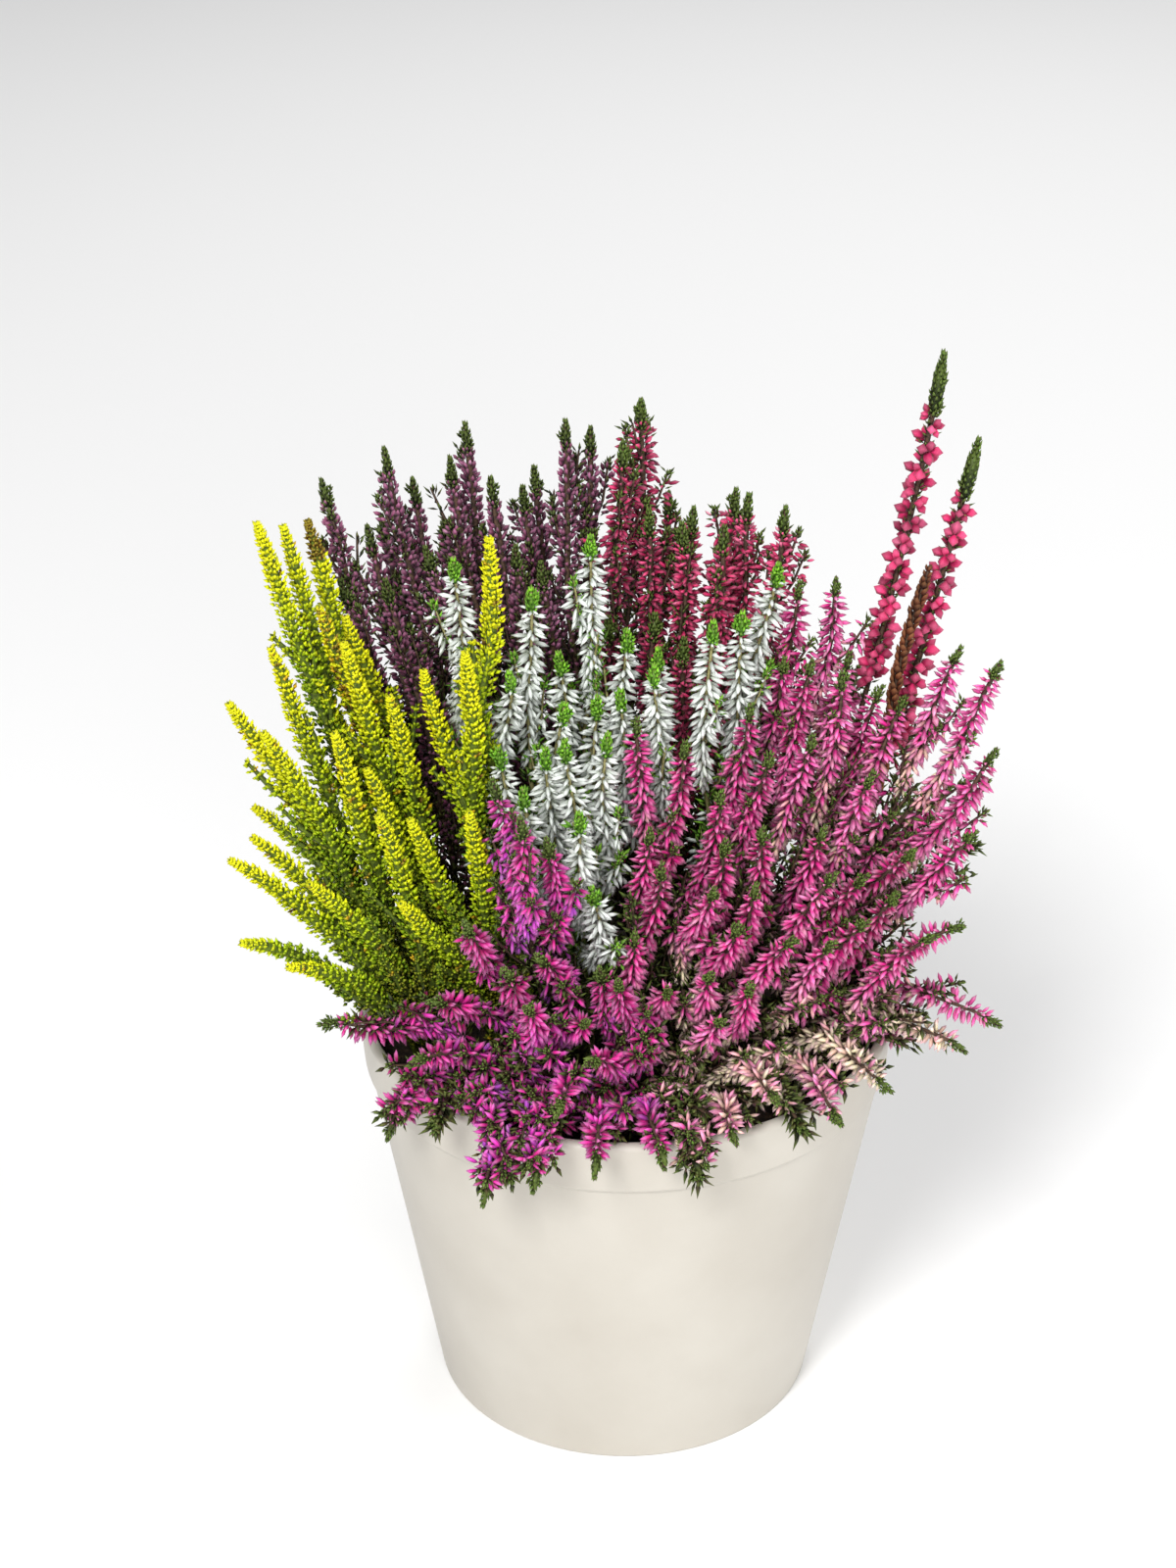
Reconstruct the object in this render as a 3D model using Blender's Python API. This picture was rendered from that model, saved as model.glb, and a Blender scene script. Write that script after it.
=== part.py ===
"""A pot of mixed heathers: six cultivars of heather planted together in a plain 15 cm nursery pot.

Each spray is a stem in its own hole in the soil, with side shoots that fork from it low down. The
buds and scale leaves of a shoot stand in staggered whorls round it, as the raised corners of its
surface. The origin is the centre of the pot's base, and +Z is up. Sizes are in millimetres until an
object is made of them.
"""

import math

import bmesh
import bpy
import numpy as np

MM = 0.001
GAP = 0.3  # clearance between two pieces that touch

# The pot, a moulded nursery pot of 15 cm
POT_SIDES = 28
RIM_R = 75.0
BASE_R = 54.0
POT_H = 120.0
WALL = 1.8
BAND_H = 16.0
BAND_STEP = 2.4
BAND_SLOPE = 1.5
LIP = 1.2
DRAFT = 1.0
FLOOR_LIFT = 2.5
FLOOR_T = 2.0
FOOT_W = 5.0
BOSS_R = 14.0
DRAIN_COUNT = 6
DRAIN_R = 4.5
DRAIN_RING_R = 34.0
DRAIN_SIDES = 6
CUT_PAST = 2.0

# The soil and the stems' holes in it
SOIL_TOP = 108.0
SOIL_CROWN = 2.0
SOIL_SHOULDER = 5.0
SOIL_SIDES = 24
HOLE_DEPTH = 9.0
HOLE_SIDES = 4
HOLE_R = 2.7
ROOT_SPAN = 60.0
ROOT_SHARE = 0.6
ROOT_APART = 6.8

# How the shoots stand. Their tips are given on an elevation seen from the front and LOOK_DOWN above
# the horizon
LOOK_DOWN = math.radians(28.0)
LEAN_HALF = math.radians(70.0)
LEAN_POWER = 2.4
LEAN_MOST = math.radians(150.0)
RISE_SHARE = 0.35
RISE_LEAST = 20.0
DRIFT = 0.2
TIP_REACH = 0.4
SIDE_TURN = 0.8
SIDE_FOOT_REACH = 0.33
SIDE_TIP_REACH = 0.36
CURVE_STEPS = 40
STEM_R = 1.5
LEAFY_R = 2.2
LEAF_PITCH = 23.0
TIP_MOST = 0.25
BLOOM_MOST = 0.84
TIP_RINGS = (0.4, 0.85)
FORK_LOW = 0.17
FORK_HIGH = 0.45
FORK_STEP = 0.19
FORK_BARE = 0.7
BEND_SPAN = 2.5
BEND_MOST = math.radians(32.0)
FORK_CLEAR = 5.0

# How the planned shoots grow clear of one another
SAMPLES = 30
ROUNDS = 200
SETTLE_ROUNDS = 70
RELIST = 8
RELIST_REACH = 4.0
AIR = 1.1
STIFF_SPAN = 7.5
EAGER = 0.8
RECALL = 0.985
ROOT_ROUNDS = 400
LIP_CORE = 1.5
LIP_CLEAR = 3.2
NEAR_ROOT = 0.15
NEAR_FORK = 0.3

# For each plant: the build of its shoots, and the tips of each spray's shoots, the first of them the
# main stem's. A tip is (across, up, depth) on that elevation: depth is away from the viewer, and up is
# measured square to the view. A fourth value names another build from BUILDS.
PLANTS = {
    "yellow": {
        "bloom": 58, "radius": 3.9, "tip": 6, "tip_radius": 2.0, "pitch": 7.0,
        "colour": (0.62, 0.66, 0.03),
        "sprays": [
            [(-99, 236, 15), (-93, 236, 24)],
            [(-87, 238, 32), (-83, 214, 12), (-77, 212, 22), (-90, 196, 44), (-82, 176, 58)],
            [(-76, 204, 2), (-64, 190, -2), (-71, 170, -12)],
            [(-107, 188, -5), (-96, 203, 6), (-104, 160, 12)],
            [(-97, 180, -14), (-78, 180, -16)],
            [(-106, 146, -30), (-101, 152, -20), (-103, 124, -42)],
            [(-84, 140, -42), (-90, 118, -50), (-66, 158, -32)],
            [(-58, 157, -26), (-60, 135, -44), (-41, 159, -34)],
            [(-43, 201, -12), (-37, 232, 10), (-55, 197, 4)],
        ],
    },
    "purple": {
        "bloom": 54, "radius": 4.2, "tip": 9, "tip_radius": 2.3, "pitch": 7.2,
        "colour": (0.17, 0.035, 0.07),
        "sprays": [
            [(-84, 250, 46), (-79, 224, 40)],
            [(-72, 238, 50), (-69, 242, 62), (-67, 223, 40), (-62, 204, 70)],
            [(-67, 259, 54), (-60, 252, 64), (-74, 186, 60), (-68, 156, 68, "green")],
            [(-45, 267, 66), (-49, 257, 57), (-46, 210, 72), (-42, 176, 82)],
            [(-52, 242, 72), (-56, 232, 46), (-54, 188, 76), (-56, 162, 78, "green")],
            [(-38, 252, 60), (-31, 233, 50), (-41, 192, 10)],
            [(-26, 256, 72), (-29, 250, 64), (-24, 228, 44), (-12, 206, 76), (-30, 192, 78)],
            [(-17, 267, 60), (-10, 266, 68), (-26, 182, 82), (-14, 164, 86, "green")],
        ],
    },
    "crimson": {
        "bloom": 48, "radius": 5.0, "tip": 9, "tip_radius": 2.4, "pitch": 6.2,
        "colour": (0.45, 0.01, 0.07),
        "sprays": [
            [(4, 273, 64), (-1, 261, 56), (-5, 213, 40), (24, 208, 74), (-2, 188, 80)],
            [(12, 249, 70), (6, 243, 52), (8, 214, 41), (12, 190, 80), (22, 172, 84)],
            [(19, 244, 60), (15, 239, 50), (16, 207, 36), (2, 164, 84, "green")],
            [(31, 249, 62), (34, 247, 54), (27, 238, 47), (36, 196, 76), (30, 164, 84, "green")],
            [(44, 243, 48), (54, 196, 68), (45, 182, 78), (52, 164, 76, "green")],
            [(84, 281, 34, "tall"), (88, 186, 42, "green")],
            [(93, 258, 22, "tall")],
        ],
    },
    "white": {
        "bloom": 44, "radius": 5.0, "tip": 7, "tip_radius": 2.5, "pitch": 5.8,
        "colour": (0.80, 0.84, 0.76),
        "sprays": [
            [(-47, 227, 18), (-34, 197, 2)],
            [(-26, 219, 14), (-20, 202, 16)],
            [(-10, 233, 22), (0, 208, 15)],
            [(8, 203, 12), (7, 198, 0), (-2, 192, 6)],
            [(31, 213, 14), (23, 210, 6), (41, 226, 24)],
            [(-16, 188, -2), (-8, 190, 1), (-5, 180, -10)],
            [(-22, 176, -12), (-36, 176, -10), (-28, 165, -22)],
            [(-17, 178, -18), (-13, 159, -30), (-13, 139, -40)],
        ],
    },
    "pink": {
        "bloom": 42, "radius": 5.2, "tip": 6, "tip_radius": 2.4, "pitch": 6.2,
        "colour": (0.66, 0.07, 0.28),
        "sprays": [
            [(47, 222, 28), (43, 201, 14), (50, 200, 6)],
            [(57, 223, 30), (61, 203, 20)],
            [(71, 193, 8), (77, 190, 2), (57, 197, 4)],
            [(89, 203, 0), (99, 199, -6), (93, 166, 30), (99, 150, 10, "green"), (92, 150, 40, "green")],
            [(98, 176, -15), (93, 154, -26)],
            [(76, 180, 50), (80, 152, 52, "green"), (66, 200, 46), (64, 172, 66)],
            [(33, 188, 0), (39, 175, -10), (50, 180, -6)],
            [(15, 178, -14), (3, 185, -4), (25, 165, -16)],
            [(66, 170, -12), (77, 149, -25), (53, 155, -20)],
            [(36, 155, -24), (26, 152, -26), (34, 140, -36)],
            [(9, 146, -34), (6, 155, -24), (2, 128, -44)],
            [(23, 139, -42), (29, 130, -48), (44, 126, -48)],
            [(65, 142, -28), (56, 143, -32), (64, 130, -40)],
            [(72, 138, -30), (91, 128, -28), (83, 126, -38)],
            [(103, 99, -25), (92, 93, -40)],
            [(55, 125, -46), (70, 84, -62), (56, 76, -74), (46, 74, -80, "green")],
            [(22, 117, -56), (32, 114, -61), (11, 110, -58), (18, 62, -90, "green")],
            [(25, 105, -66), (28, 72, -84), (39, 82, -78)],
        ],
    },
    "violet": {
        "bloom": 32, "radius": 5.6, "tip": 8, "tip_radius": 2.6, "pitch": 5.4,
        "colour": (0.55, 0.05, 0.33),
        "sprays": [
            [(-28, 158, -54), (-36, 168, -32)],
            [(-22, 152, -46), (-25, 122, -54)],
            [(-43, 131, -60), (-33, 119, -60), (-53, 109, -60)],
            [(-3, 116, -70), (-8, 118, -54)],
            [(-13, 93, -78), (-19, 80, -86), (-9, 64, -92), (9, 66, -90)],
            [(-27, 109, -76), (-11, 104, -68), (-38, 56, -90), (-25, 60, -92)],
            [(-58, 92, -67), (-83, 102, -46), (-64, 70, -62), (-51, 74, -76, "green")],
        ],
    },
    "dead": {
        "bloom": 46, "radius": 2.8, "tip": 6, "tip_radius": 1.6, "pitch": 7.0,
        "colour": (0.20, 0.07, 0.025),
        "sprays": [[(81, 225, 14)]],
    },
}
BUILDS = {
    "tall": {"bloom": 78, "radius": 6.0, "tip": 18},
    "green": {"bloom": 30, "radius": 3.4, "tip": 6, "pitch": 6.0},
}
POT_COLOUR = (0.66, 0.63, 0.56)
POT_ROUGHNESS = 0.5
SOIL_COLOUR = (0.035, 0.022, 0.014)
SOIL_ROUGHNESS = 0.95
BUD_ROUGHNESS = 0.8


def clear_scene():
    for obj in list(bpy.data.objects):
        bpy.data.objects.remove(obj)


def material(name, colour, roughness):
    made = bpy.data.materials.new(name)
    made.use_nodes = True
    shader = made.node_tree.nodes["Principled BSDF"]
    shader.inputs["Base Color"].default_value = (*colour, 1)
    shader.inputs["Roughness"].default_value = roughness
    return made


def skin(rings, start, end, staggered):
    """A closed surface through rings of points, with a pole at each end. Staggered rings stand half a
    step round from one another."""
    bm = bmesh.new()
    poles = [bm.verts.new(point) for point in (start, end)]
    loops = [[bm.verts.new(point) for point in ring] for ring in rings]
    count = len(loops[0])
    for pole, loop in ((poles[0], loops[0]), (poles[1], loops[-1])):
        for k in range(count):
            bm.faces.new((pole, loop[k], loop[(k + 1) % count]))
    for lower, upper in zip(loops, loops[1:]):
        for k in range(count):
            after = (k + 1) % count
            if staggered:
                bm.faces.new((lower[k], lower[after], upper[k]))
                bm.faces.new((upper[k], lower[after], upper[after]))
            else:
                bm.faces.new((lower[k], lower[after], upper[after], upper[k]))
    bmesh.ops.recalc_face_normals(bm, faces=bm.faces)
    return bm


def object_of(name, bm, finish=None):
    bmesh.ops.scale(bm, vec=(MM, MM, MM), verts=bm.verts)
    mesh = bpy.data.meshes.new(name)
    bm.to_mesh(mesh)
    bm.free()
    if finish:
        mesh.materials.append(finish)
    obj = bpy.data.objects.new(name, mesh)
    bpy.context.scene.collection.objects.link(obj)
    return obj


def combine(obj, others, operation, solver="EXACT"):
    """One Boolean of the object with all the others together, applied, and the others removed."""
    group = bpy.data.collections.new(obj.name + "_parts")
    bpy.context.scene.collection.children.link(group)
    for other in others:
        bpy.context.scene.collection.objects.unlink(other)
        group.objects.link(other)
    modifier = obj.modifiers.new("Combine", "BOOLEAN")
    modifier.operation = operation
    modifier.operand_type = "COLLECTION"
    modifier.collection = group
    modifier.solver = solver
    graph = bpy.context.evaluated_depsgraph_get()
    mesh = bpy.data.meshes.new_from_object(obj.evaluated_get(graph))
    obj.modifiers.clear()
    obj.data = mesh
    for other in others:
        bpy.data.objects.remove(other)
    bpy.data.collections.remove(group)


def turned(profile, sides):
    """The surface made by turning a profile of (radius, height) about the pot's axis, closed on the axis."""
    angles = np.arange(sides) * 2 * math.pi / sides
    rings = [[(r * math.cos(a), r * math.sin(a), z) for a in angles] for r, z in profile[1:-1]]
    return skin(rings, (0, 0, profile[0][1]), (0, 0, profile[-1][1]), staggered=False)


def wall_radius(z):
    """The pot's outer radius at a height below its band."""
    return BASE_R + (RIM_R - BAND_STEP - BASE_R) * z / (POT_H - BAND_H)


def make_pot():
    """One moulded shell: a foot ring and a flat boss under a raised floor, a tapered wall, and a
    stepped band with a lip."""
    floor_top = FLOOR_LIFT + FLOOR_T
    inner = wall_radius(floor_top) - WALL
    band_low = POT_H - BAND_H
    profile = [
        (0, 0), (BOSS_R, 0), (BOSS_R + DRAFT, FLOOR_LIFT), (BASE_R - FOOT_W - DRAFT, FLOOR_LIFT),
        (BASE_R - FOOT_W, 0), (BASE_R, 0), (wall_radius(band_low), band_low),
        (RIM_R - LIP, band_low + DRAFT), (RIM_R, POT_H - LIP), (RIM_R - LIP, POT_H),
        (RIM_R - WALL - LIP, POT_H), (RIM_R - WALL - LIP, band_low + BAND_SLOPE),
        (wall_radius(band_low) - WALL, band_low - BAND_SLOPE), (inner, floor_top), (0, floor_top),
    ]
    bm = turned(profile, POT_SIDES)
    pot = object_of("pot", bm, material("Pot plastic", POT_COLOUR, POT_ROUGHNESS))
    cutters = [make_drain(k) for k in range(DRAIN_COUNT)]
    combine(pot, cutters, "DIFFERENCE")
    pot.data.shade_smooth()
    pot.data.set_sharp_from_angle(angle=math.radians(30))


def make_drain(k):
    """A cutter for one of the drainage holes, which stand in a ring between the boss and the foot."""
    turn = 2 * math.pi * (k + 0.5) / DRAIN_COUNT
    centre = (DRAIN_RING_R * math.cos(turn), DRAIN_RING_R * math.sin(turn))
    low = FLOOR_LIFT - CUT_PAST
    return prism("drain", centre, DRAIN_R, DRAIN_SIDES, low, FLOOR_LIFT + FLOOR_T + CUT_PAST)


def prism(name, centre, radius, sides, low, high):
    """An upright cutter with flat sides."""
    angles = (np.arange(sides) + 0.5) * 2 * math.pi / sides
    x, y = centre
    corners = [(x + radius * math.cos(a), y + radius * math.sin(a)) for a in angles]
    rings = [[(*corner, z) for corner in corners] for z in (low, high)]
    bm = skin(rings, (x, y, low), (x, y, high), staggered=False)
    cutter = object_of(name, bm)
    cutter.hide_render = True
    cutter.display_type = "WIRE"
    return cutter


def make_soil(roots):
    """The soil fills the pot to a low crown, with a plain hole for each stem."""
    floor = FLOOR_LIFT + FLOOR_T + GAP
    edge = SOIL_TOP - SOIL_CROWN / 2
    shoulder = edge - SOIL_SHOULDER
    top = SOIL_TOP + SOIL_CROWN
    profile = [
        (0, floor), (inner_radius(floor), floor), (inner_radius(shoulder), shoulder),
        (inner_radius(edge), edge), (ROOT_SPAN + SOIL_SHOULDER, top), (0, top),
    ]
    bm = turned(profile, SOIL_SIDES)
    soil = object_of("soil", bm, material("Peat compost", SOIL_COLOUR, SOIL_ROUGHNESS))
    low = top - HOLE_DEPTH
    cutters = [prism("hole", root, HOLE_R, HOLE_SIDES, low, top + CUT_PAST) for root in roots]
    combine(soil, cutters, "DIFFERENCE")


def inner_radius(z):
    """How far out the soil reaches: the pot's flat facets lie inside its corners' circle."""
    band_low = POT_H - BAND_H
    wall = wall_radius(min(z, band_low)) - WALL + max(z - band_low, 0)
    return min(wall, RIM_R - WALL - LIP) * math.cos(math.pi / POT_SIDES) - GAP


def in_space(across, up, depth):
    """The point of the elevation in the pot's own frame."""
    z = (up - depth * math.sin(LOOK_DOWN)) / math.cos(LOOK_DOWN)
    return np.array([across, depth, z], float)


def tip_direction(tip):
    """The way a shoot's end points: the further out and the lower its tip, the more it leans."""
    out = math.hypot(tip[0], tip[1])
    fall = math.atan2(out, tip[2] - SOIL_TOP)
    lean = min(math.pi / 2 * (fall / LEAN_HALF) ** LEAN_POWER, LEAN_MOST)
    heading = tip[:2] / max(out, 1.0)
    return np.array([*(heading * math.sin(lean)), math.cos(lean)])


def bezier(points, share):
    """Points of a cubic curve at each share of it, from its four control points."""
    t = np.asarray(share, float)[:, None]
    return ((1 - t) ** 3 * points[0] + 3 * t * (1 - t) ** 2 * points[1]
            + 3 * t ** 2 * (1 - t) * points[2] + t ** 3 * points[3])


def length_of(line):
    """The length of a line of points."""
    return np.linalg.norm(np.diff(line, axis=0), axis=1).sum()


def place_roots(tips):
    """Where each spray's stem enters the soil: part way in under its tip, with no two too close."""
    roots = ROOT_SHARE * np.array(tips)[:, :2]
    for _ in range(ROOT_ROUNDS):
        gap = roots[:, None] - roots[None]
        far = np.linalg.norm(gap, axis=2) + 1e9 * np.eye(len(roots))
        short = np.maximum(ROOT_APART - far, 0)
        roots = roots + 0.5 * (gap / far[:, :, None] * short[:, :, None]).sum(1)
        out = np.linalg.norm(roots, axis=1)
        roots = roots * np.minimum(1, ROOT_SPAN / np.maximum(out, 1e-6))[:, None]
    return roots


def main_curve(root, tip):
    """A main stem's curve, from its hole nearly straight up, then over towards its tip."""
    end = tip_direction(tip)
    start = np.array([*root, SOIL_TOP + SOIL_CROWN])
    reach = np.linalg.norm(tip - start)
    rise = max(RISE_SHARE * (tip[2] - start[2]), RISE_LEAST)
    first = start + np.array([*(DRIFT * (tip - start)[:2]), rise])
    return np.array([start, first, tip - TIP_REACH * reach * end, tip])


def side_curve(main, share, tip):
    """A side shoot's curve, which leaves the main stem at a share of its curve."""
    start, ahead = bezier(main["points"], [share, share + 0.02])
    way = (ahead - start) / np.linalg.norm(ahead - start)
    reach = np.linalg.norm(tip - start)
    aim = way + SIDE_TURN * (tip - start) / reach
    first = start + SIDE_FOOT_REACH * reach * aim / np.linalg.norm(aim)
    return np.array([start, first, tip - SIDE_TIP_REACH * reach * tip_direction(tip), tip])


def plan_shoots():
    """Every shoot as it would grow alone."""
    mains = [in_space(*spray[0][:3]) for kind in PLANTS.values() for spray in kind["sprays"]]
    roots = place_roots(mains)
    shoots = []
    sprays = [(plant, spray) for plant, kind in PLANTS.items() for spray in kind["sprays"]]
    for (plant, spray), root in zip(sprays, roots):
        first = len(shoots)
        for order, (across, up, depth, *build) in enumerate(spray):
            style = {**PLANTS[plant], **(BUILDS[build[0]] if build else {})}
            shoot = {"plant": plant, "main": first, "order": order, "style": style}
            tip = in_space(across, up, depth)
            if order:
                main = shoots[first]
                flowers = (main["style"]["tip"] + main["style"]["bloom"]) / main["length"]
                highest = float(np.clip(FORK_BARE * (1 - flowers), FORK_LOW, FORK_HIGH))
                shoot["fork"] = highest * (1 - FORK_STEP * (order - 1))
                shoot["points"] = side_curve(main, shoot["fork"], tip)
            else:
                shoot["points"] = main_curve(root, tip)
            curve = bezier(shoot["points"], np.linspace(0, 1, CURVE_STEPS))
            shoot["length"] = length_of(curve)
            shoots.append(shoot)
    return shoots, roots


def zones(shoot):
    """The lengths of a shoot's green tip and of its flowers."""
    tip = min(shoot["style"]["tip"], TIP_MOST * shoot["length"])
    return tip, min(shoot["style"]["bloom"], BLOOM_MOST * shoot["length"] - tip)


def girth(shoot, down):
    """The radius of a shoot at each length down from its tip: its flowers swell quickly and thin out
    at their foot."""
    style = shoot["style"]
    tip, bloom = zones(shoot)
    along = np.clip((down - tip) / bloom, 0, 1)
    swelling = np.minimum(1, 0.6 + 2.0 * along)
    thinning = np.minimum(1, 0.55 + 2.2 * (1 - along))
    flower = style["radius"] * swelling * thinning
    tapered = style["tip_radius"] * np.minimum(1, 0.5 + down / tip)
    return np.where(down < tip, tapered, np.where(down < tip + bloom, flower, LEAFY_R))


def stiffness(shoots):
    """For each shoot, how far a push at one sample point carries to the others: a stem bends and
    never kinks."""
    along = np.linspace(0, 1, SAMPLES)[None] * np.array([s["length"] for s in shoots])[:, None]
    shares = np.exp(-0.5 * ((along[:, :, None] - along[:, None]) / STIFF_SPAN) ** 2)
    return shares / shares.sum(2, keepdims=True)


def close_pairs(at, need, skip, reach):
    """The pairs of sample points, of shoots that may not touch, that lie near each other."""
    points = at.reshape(-1, 3).astype(np.float32)
    square = (points ** 2).sum(1)
    far = square[:, None] + square[None] - 2 * points @ points.T
    one, two = np.nonzero(far < (need[:, None] + need[None] + AIR + reach) ** 2)
    keep = (one < two) & ~skip(one, two)
    return one[keep], two[keep]


def off_the_pot(at, radius, free):
    """How far each sample point has to move to clear the pot's rim and the soil."""
    out = np.linalg.norm(at[..., :2], axis=-1)
    gap = np.stack([out - (RIM_R - LIP_CORE), at[..., 2] - (POT_H - LIP_CORE)], axis=-1)
    far = np.maximum(np.linalg.norm(gap, axis=-1), 1e-6)
    short = np.maximum(radius + LIP_CLEAR + AIR - far, 0) / far
    heading = at[..., :2] / np.maximum(out, 1e-6)[..., None]
    push = np.zeros_like(at)
    push[..., :2] = heading * (gap[..., 0] * short)[..., None]
    push[..., 2] = np.abs(gap[..., 1]) * short
    beside = (out > RIM_R - LIP_CLEAR) & (at[..., 2] < POT_H)
    push[..., :2] += heading * (np.maximum(RIM_R + radius + AIR - out, 0) * beside)[..., None]
    sunk = np.maximum(SOIL_TOP + SOIL_CROWN + radius + AIR - at[..., 2], 0)
    push[..., 2] += sunk * (out < RIM_R - LIP_CLEAR) * free
    return push


def grow_apart(shoots):
    """Moves the shoots clear of one another, of the pot and of the soil. Each keeps its root, and
    nearly its tip."""
    share = np.linspace(0, 1, SAMPLES)
    base = np.stack([bezier(s["points"], share) for s in shoots])
    radius = np.stack([girth(s, (1 - share) * s["length"]) for s in shoots])
    main = np.repeat([s["main"] for s in shoots], SAMPLES)
    owner = np.repeat(np.arange(len(shoots)), SAMPLES)
    where = np.tile(share, len(shoots))
    sides = [(k, s["main"], s["fork"]) for k, s in enumerate(shoots) if s["order"]]
    rooted = np.array([s["order"] == 0 for s in shoots])
    ramp = np.where(rooted[:, None], np.minimum(1, share / NEAR_ROOT)[None], 1.0)
    free = np.where(rooted[:, None], share[None] > NEAR_ROOT, share[None] > NEAR_FORK)
    need = radius.reshape(-1)
    near_fork = where < NEAR_FORK

    def skip(one, two):
        forked = (main[one] == main[two]) & (near_fork[one] | near_fork[two])
        return forked | (owner[one] == owner[two])

    carry = stiffness(shoots)
    moved = np.zeros_like(base)
    for turn in range(ROUNDS):
        at = base + moved
        if turn % RELIST == 0:
            one, two = close_pairs(at, need, skip, RELIST_REACH)
        flat = at.reshape(-1, 3)
        gap = flat[one] - flat[two]
        far = np.maximum(np.linalg.norm(gap, axis=1), 1e-6)
        short = np.maximum(need[one] + need[two] + AIR - far, 0) / far
        push = np.zeros_like(flat)
        np.add.at(push, one, gap * short[:, None])
        np.add.at(push, two, -gap * short[:, None])
        touched = np.bincount(np.concatenate([one[short > 0], two[short > 0]]), minlength=len(flat))
        push /= np.maximum(touched, 1)[:, None]
        push = push.reshape(at.shape) + off_the_pot(at, radius, free)
        moved += EAGER * (carry @ push) * ramp[:, :, None]
        if turn < ROUNDS - SETTLE_ROUNDS:
            moved *= RECALL
        for k, above, fork in sides:
            shift = [np.interp(fork, share, moved[above, :, axis]) for axis in range(3)]
            moved[k] += (shift - moved[k, 0]) * ((1 - share) ** 2)[:, None]
    for shoot, line, step in zip(shoots, base, moved):
        shoot["line"] = line + step
        shoot["length"] = length_of(shoot["line"])


def at_length(shoot, down):
    """The point of a shoot's line at a length down from its tip."""
    line = shoot["line"][::-1]
    along = np.concatenate([[0], np.cumsum(np.linalg.norm(np.diff(line, axis=0), axis=1))])
    return np.array([np.interp(down, along, line[:, axis]) for axis in range(3)])


def fork_down(main, share):
    """The length down from the main stem's tip to a fork that lies at a share of its curve."""
    above = int(share * (SAMPLES - 1)) + 1
    along = length_of(main["line"][above:])
    shares = np.linspace(0, 1, SAMPLES)
    start = np.array([np.interp(share, shares, main["line"][:, axis]) for axis in range(3)])
    return along + float(np.linalg.norm(main["line"][above] - start))


def way_at(shoot, down):
    """The direction in which a shoot grows at a length down from its tip."""
    way = at_length(shoot, down - BEND_SPAN) - at_length(shoot, down + BEND_SPAN)
    return way / np.linalg.norm(way)


def turn_between(shoot, high, low):
    """How far a shoot's line turns between two lengths down from its tip."""
    return math.acos(np.clip(way_at(shoot, high) @ way_at(shoot, low), -1, 1))


def ring_places(shoot, forks):
    """Lengths down from the tip at which a shoot has a ring: two in its green tip, a whorl of buds at
    each pitch, then wide steps down its leafy stem, with one at each fork."""
    tip, bloom = zones(shoot)
    whorls = max(3, round(bloom / shoot["style"]["pitch"]))
    leafy = shoot["length"] - tip - bloom
    turn = turn_between(shoot, tip + bloom, shoot["length"] - BEND_SPAN)
    steps = max(1, round(leafy / LEAF_PITCH), math.ceil(turn / BEND_MOST))
    places = [share * tip for share in TIP_RINGS]
    places += [tip + bloom * (k + 0.5) / whorls for k in range(whorls)]
    stem = [tip + bloom + leafy * (k + 1) / steps for k in range(steps)]
    apart = [down for down in stem[:-1] if all(abs(down - fork) > FORK_CLEAR for fork in forks)]
    below = [fork for fork in forks if fork > tip + bloom]
    return sorted(places + apart + stem[-1:] + below)


def ring_at(shoot, down, radius, number):
    """The three points of a ring, turned half a step on from the ring before it."""
    way = way_at(shoot, down)
    heading = shoot["line"][-1, :2] - 0.5 * shoot["line"][0, :2]
    side = np.array([-heading[1], heading[0], 0.0])
    side -= way * (side @ way)
    side /= np.linalg.norm(side)
    front = np.cross(way, side)
    centre = at_length(shoot, down)
    turns = [2 * math.pi * (k + number / 2) / 3 + shoot["order"] for k in range(3)]
    return [centre + radius * (math.cos(a) * side + math.sin(a) * front) for a in turns]


def make_shoot(name, shoot, forks, finish):
    """One shoot, from inside the stem or the soil that holds it to its tip."""
    places = ring_places(shoot, forks)[::-1]
    radii = [STEM_R] + [float(girth(shoot, down)) for down in places[1:]]
    if shoot["order"] == 0:
        foot = shoot["line"][0] - np.array([0, 0, HOLE_DEPTH - GAP])
        places = [shoot["length"] + HOLE_DEPTH - GAP] + places
        radii = [STEM_R] + radii
        shoot = dict(shoot, line=np.concatenate([[foot], shoot["line"]]))
    rings = [ring_at(shoot, down, r, k) for k, (down, r) in enumerate(zip(places, radii))]
    bm = skin(rings, shoot["line"][0], shoot["line"][-1], staggered=True)
    return object_of(name, bm, finish)


def make_sprays(shoots):
    """One object for each spray: its main stem with the side shoots joined on."""
    finishes = {plant: material(plant.capitalize() + " heather", kind["colour"], BUD_ROUGHNESS)
                for plant, kind in PLANTS.items()}
    counts = dict.fromkeys(PLANTS, 0)
    for number, main in enumerate(shoots):
        if main["order"]:
            continue
        plant = main["plant"]
        counts[plant] += 1
        sides = [s for s in shoots if s["main"] == number and s["order"]]
        forks = [fork_down(main, side["fork"]) for side in sides]
        spray = make_shoot(f"{plant}_spray_{counts[plant]:02d}", main, forks, finishes[plant])
        parts = [make_shoot("side_shoot", side, [], finishes[plant]) for side in sides]
        if parts:
            combine(spray, parts, "UNION", solver="MANIFOLD")


def main():
    clear_scene()
    shoots, roots = plan_shoots()
    grow_apart(shoots)
    make_pot()
    make_soil(roots)
    make_sprays(shoots)


main()
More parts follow.
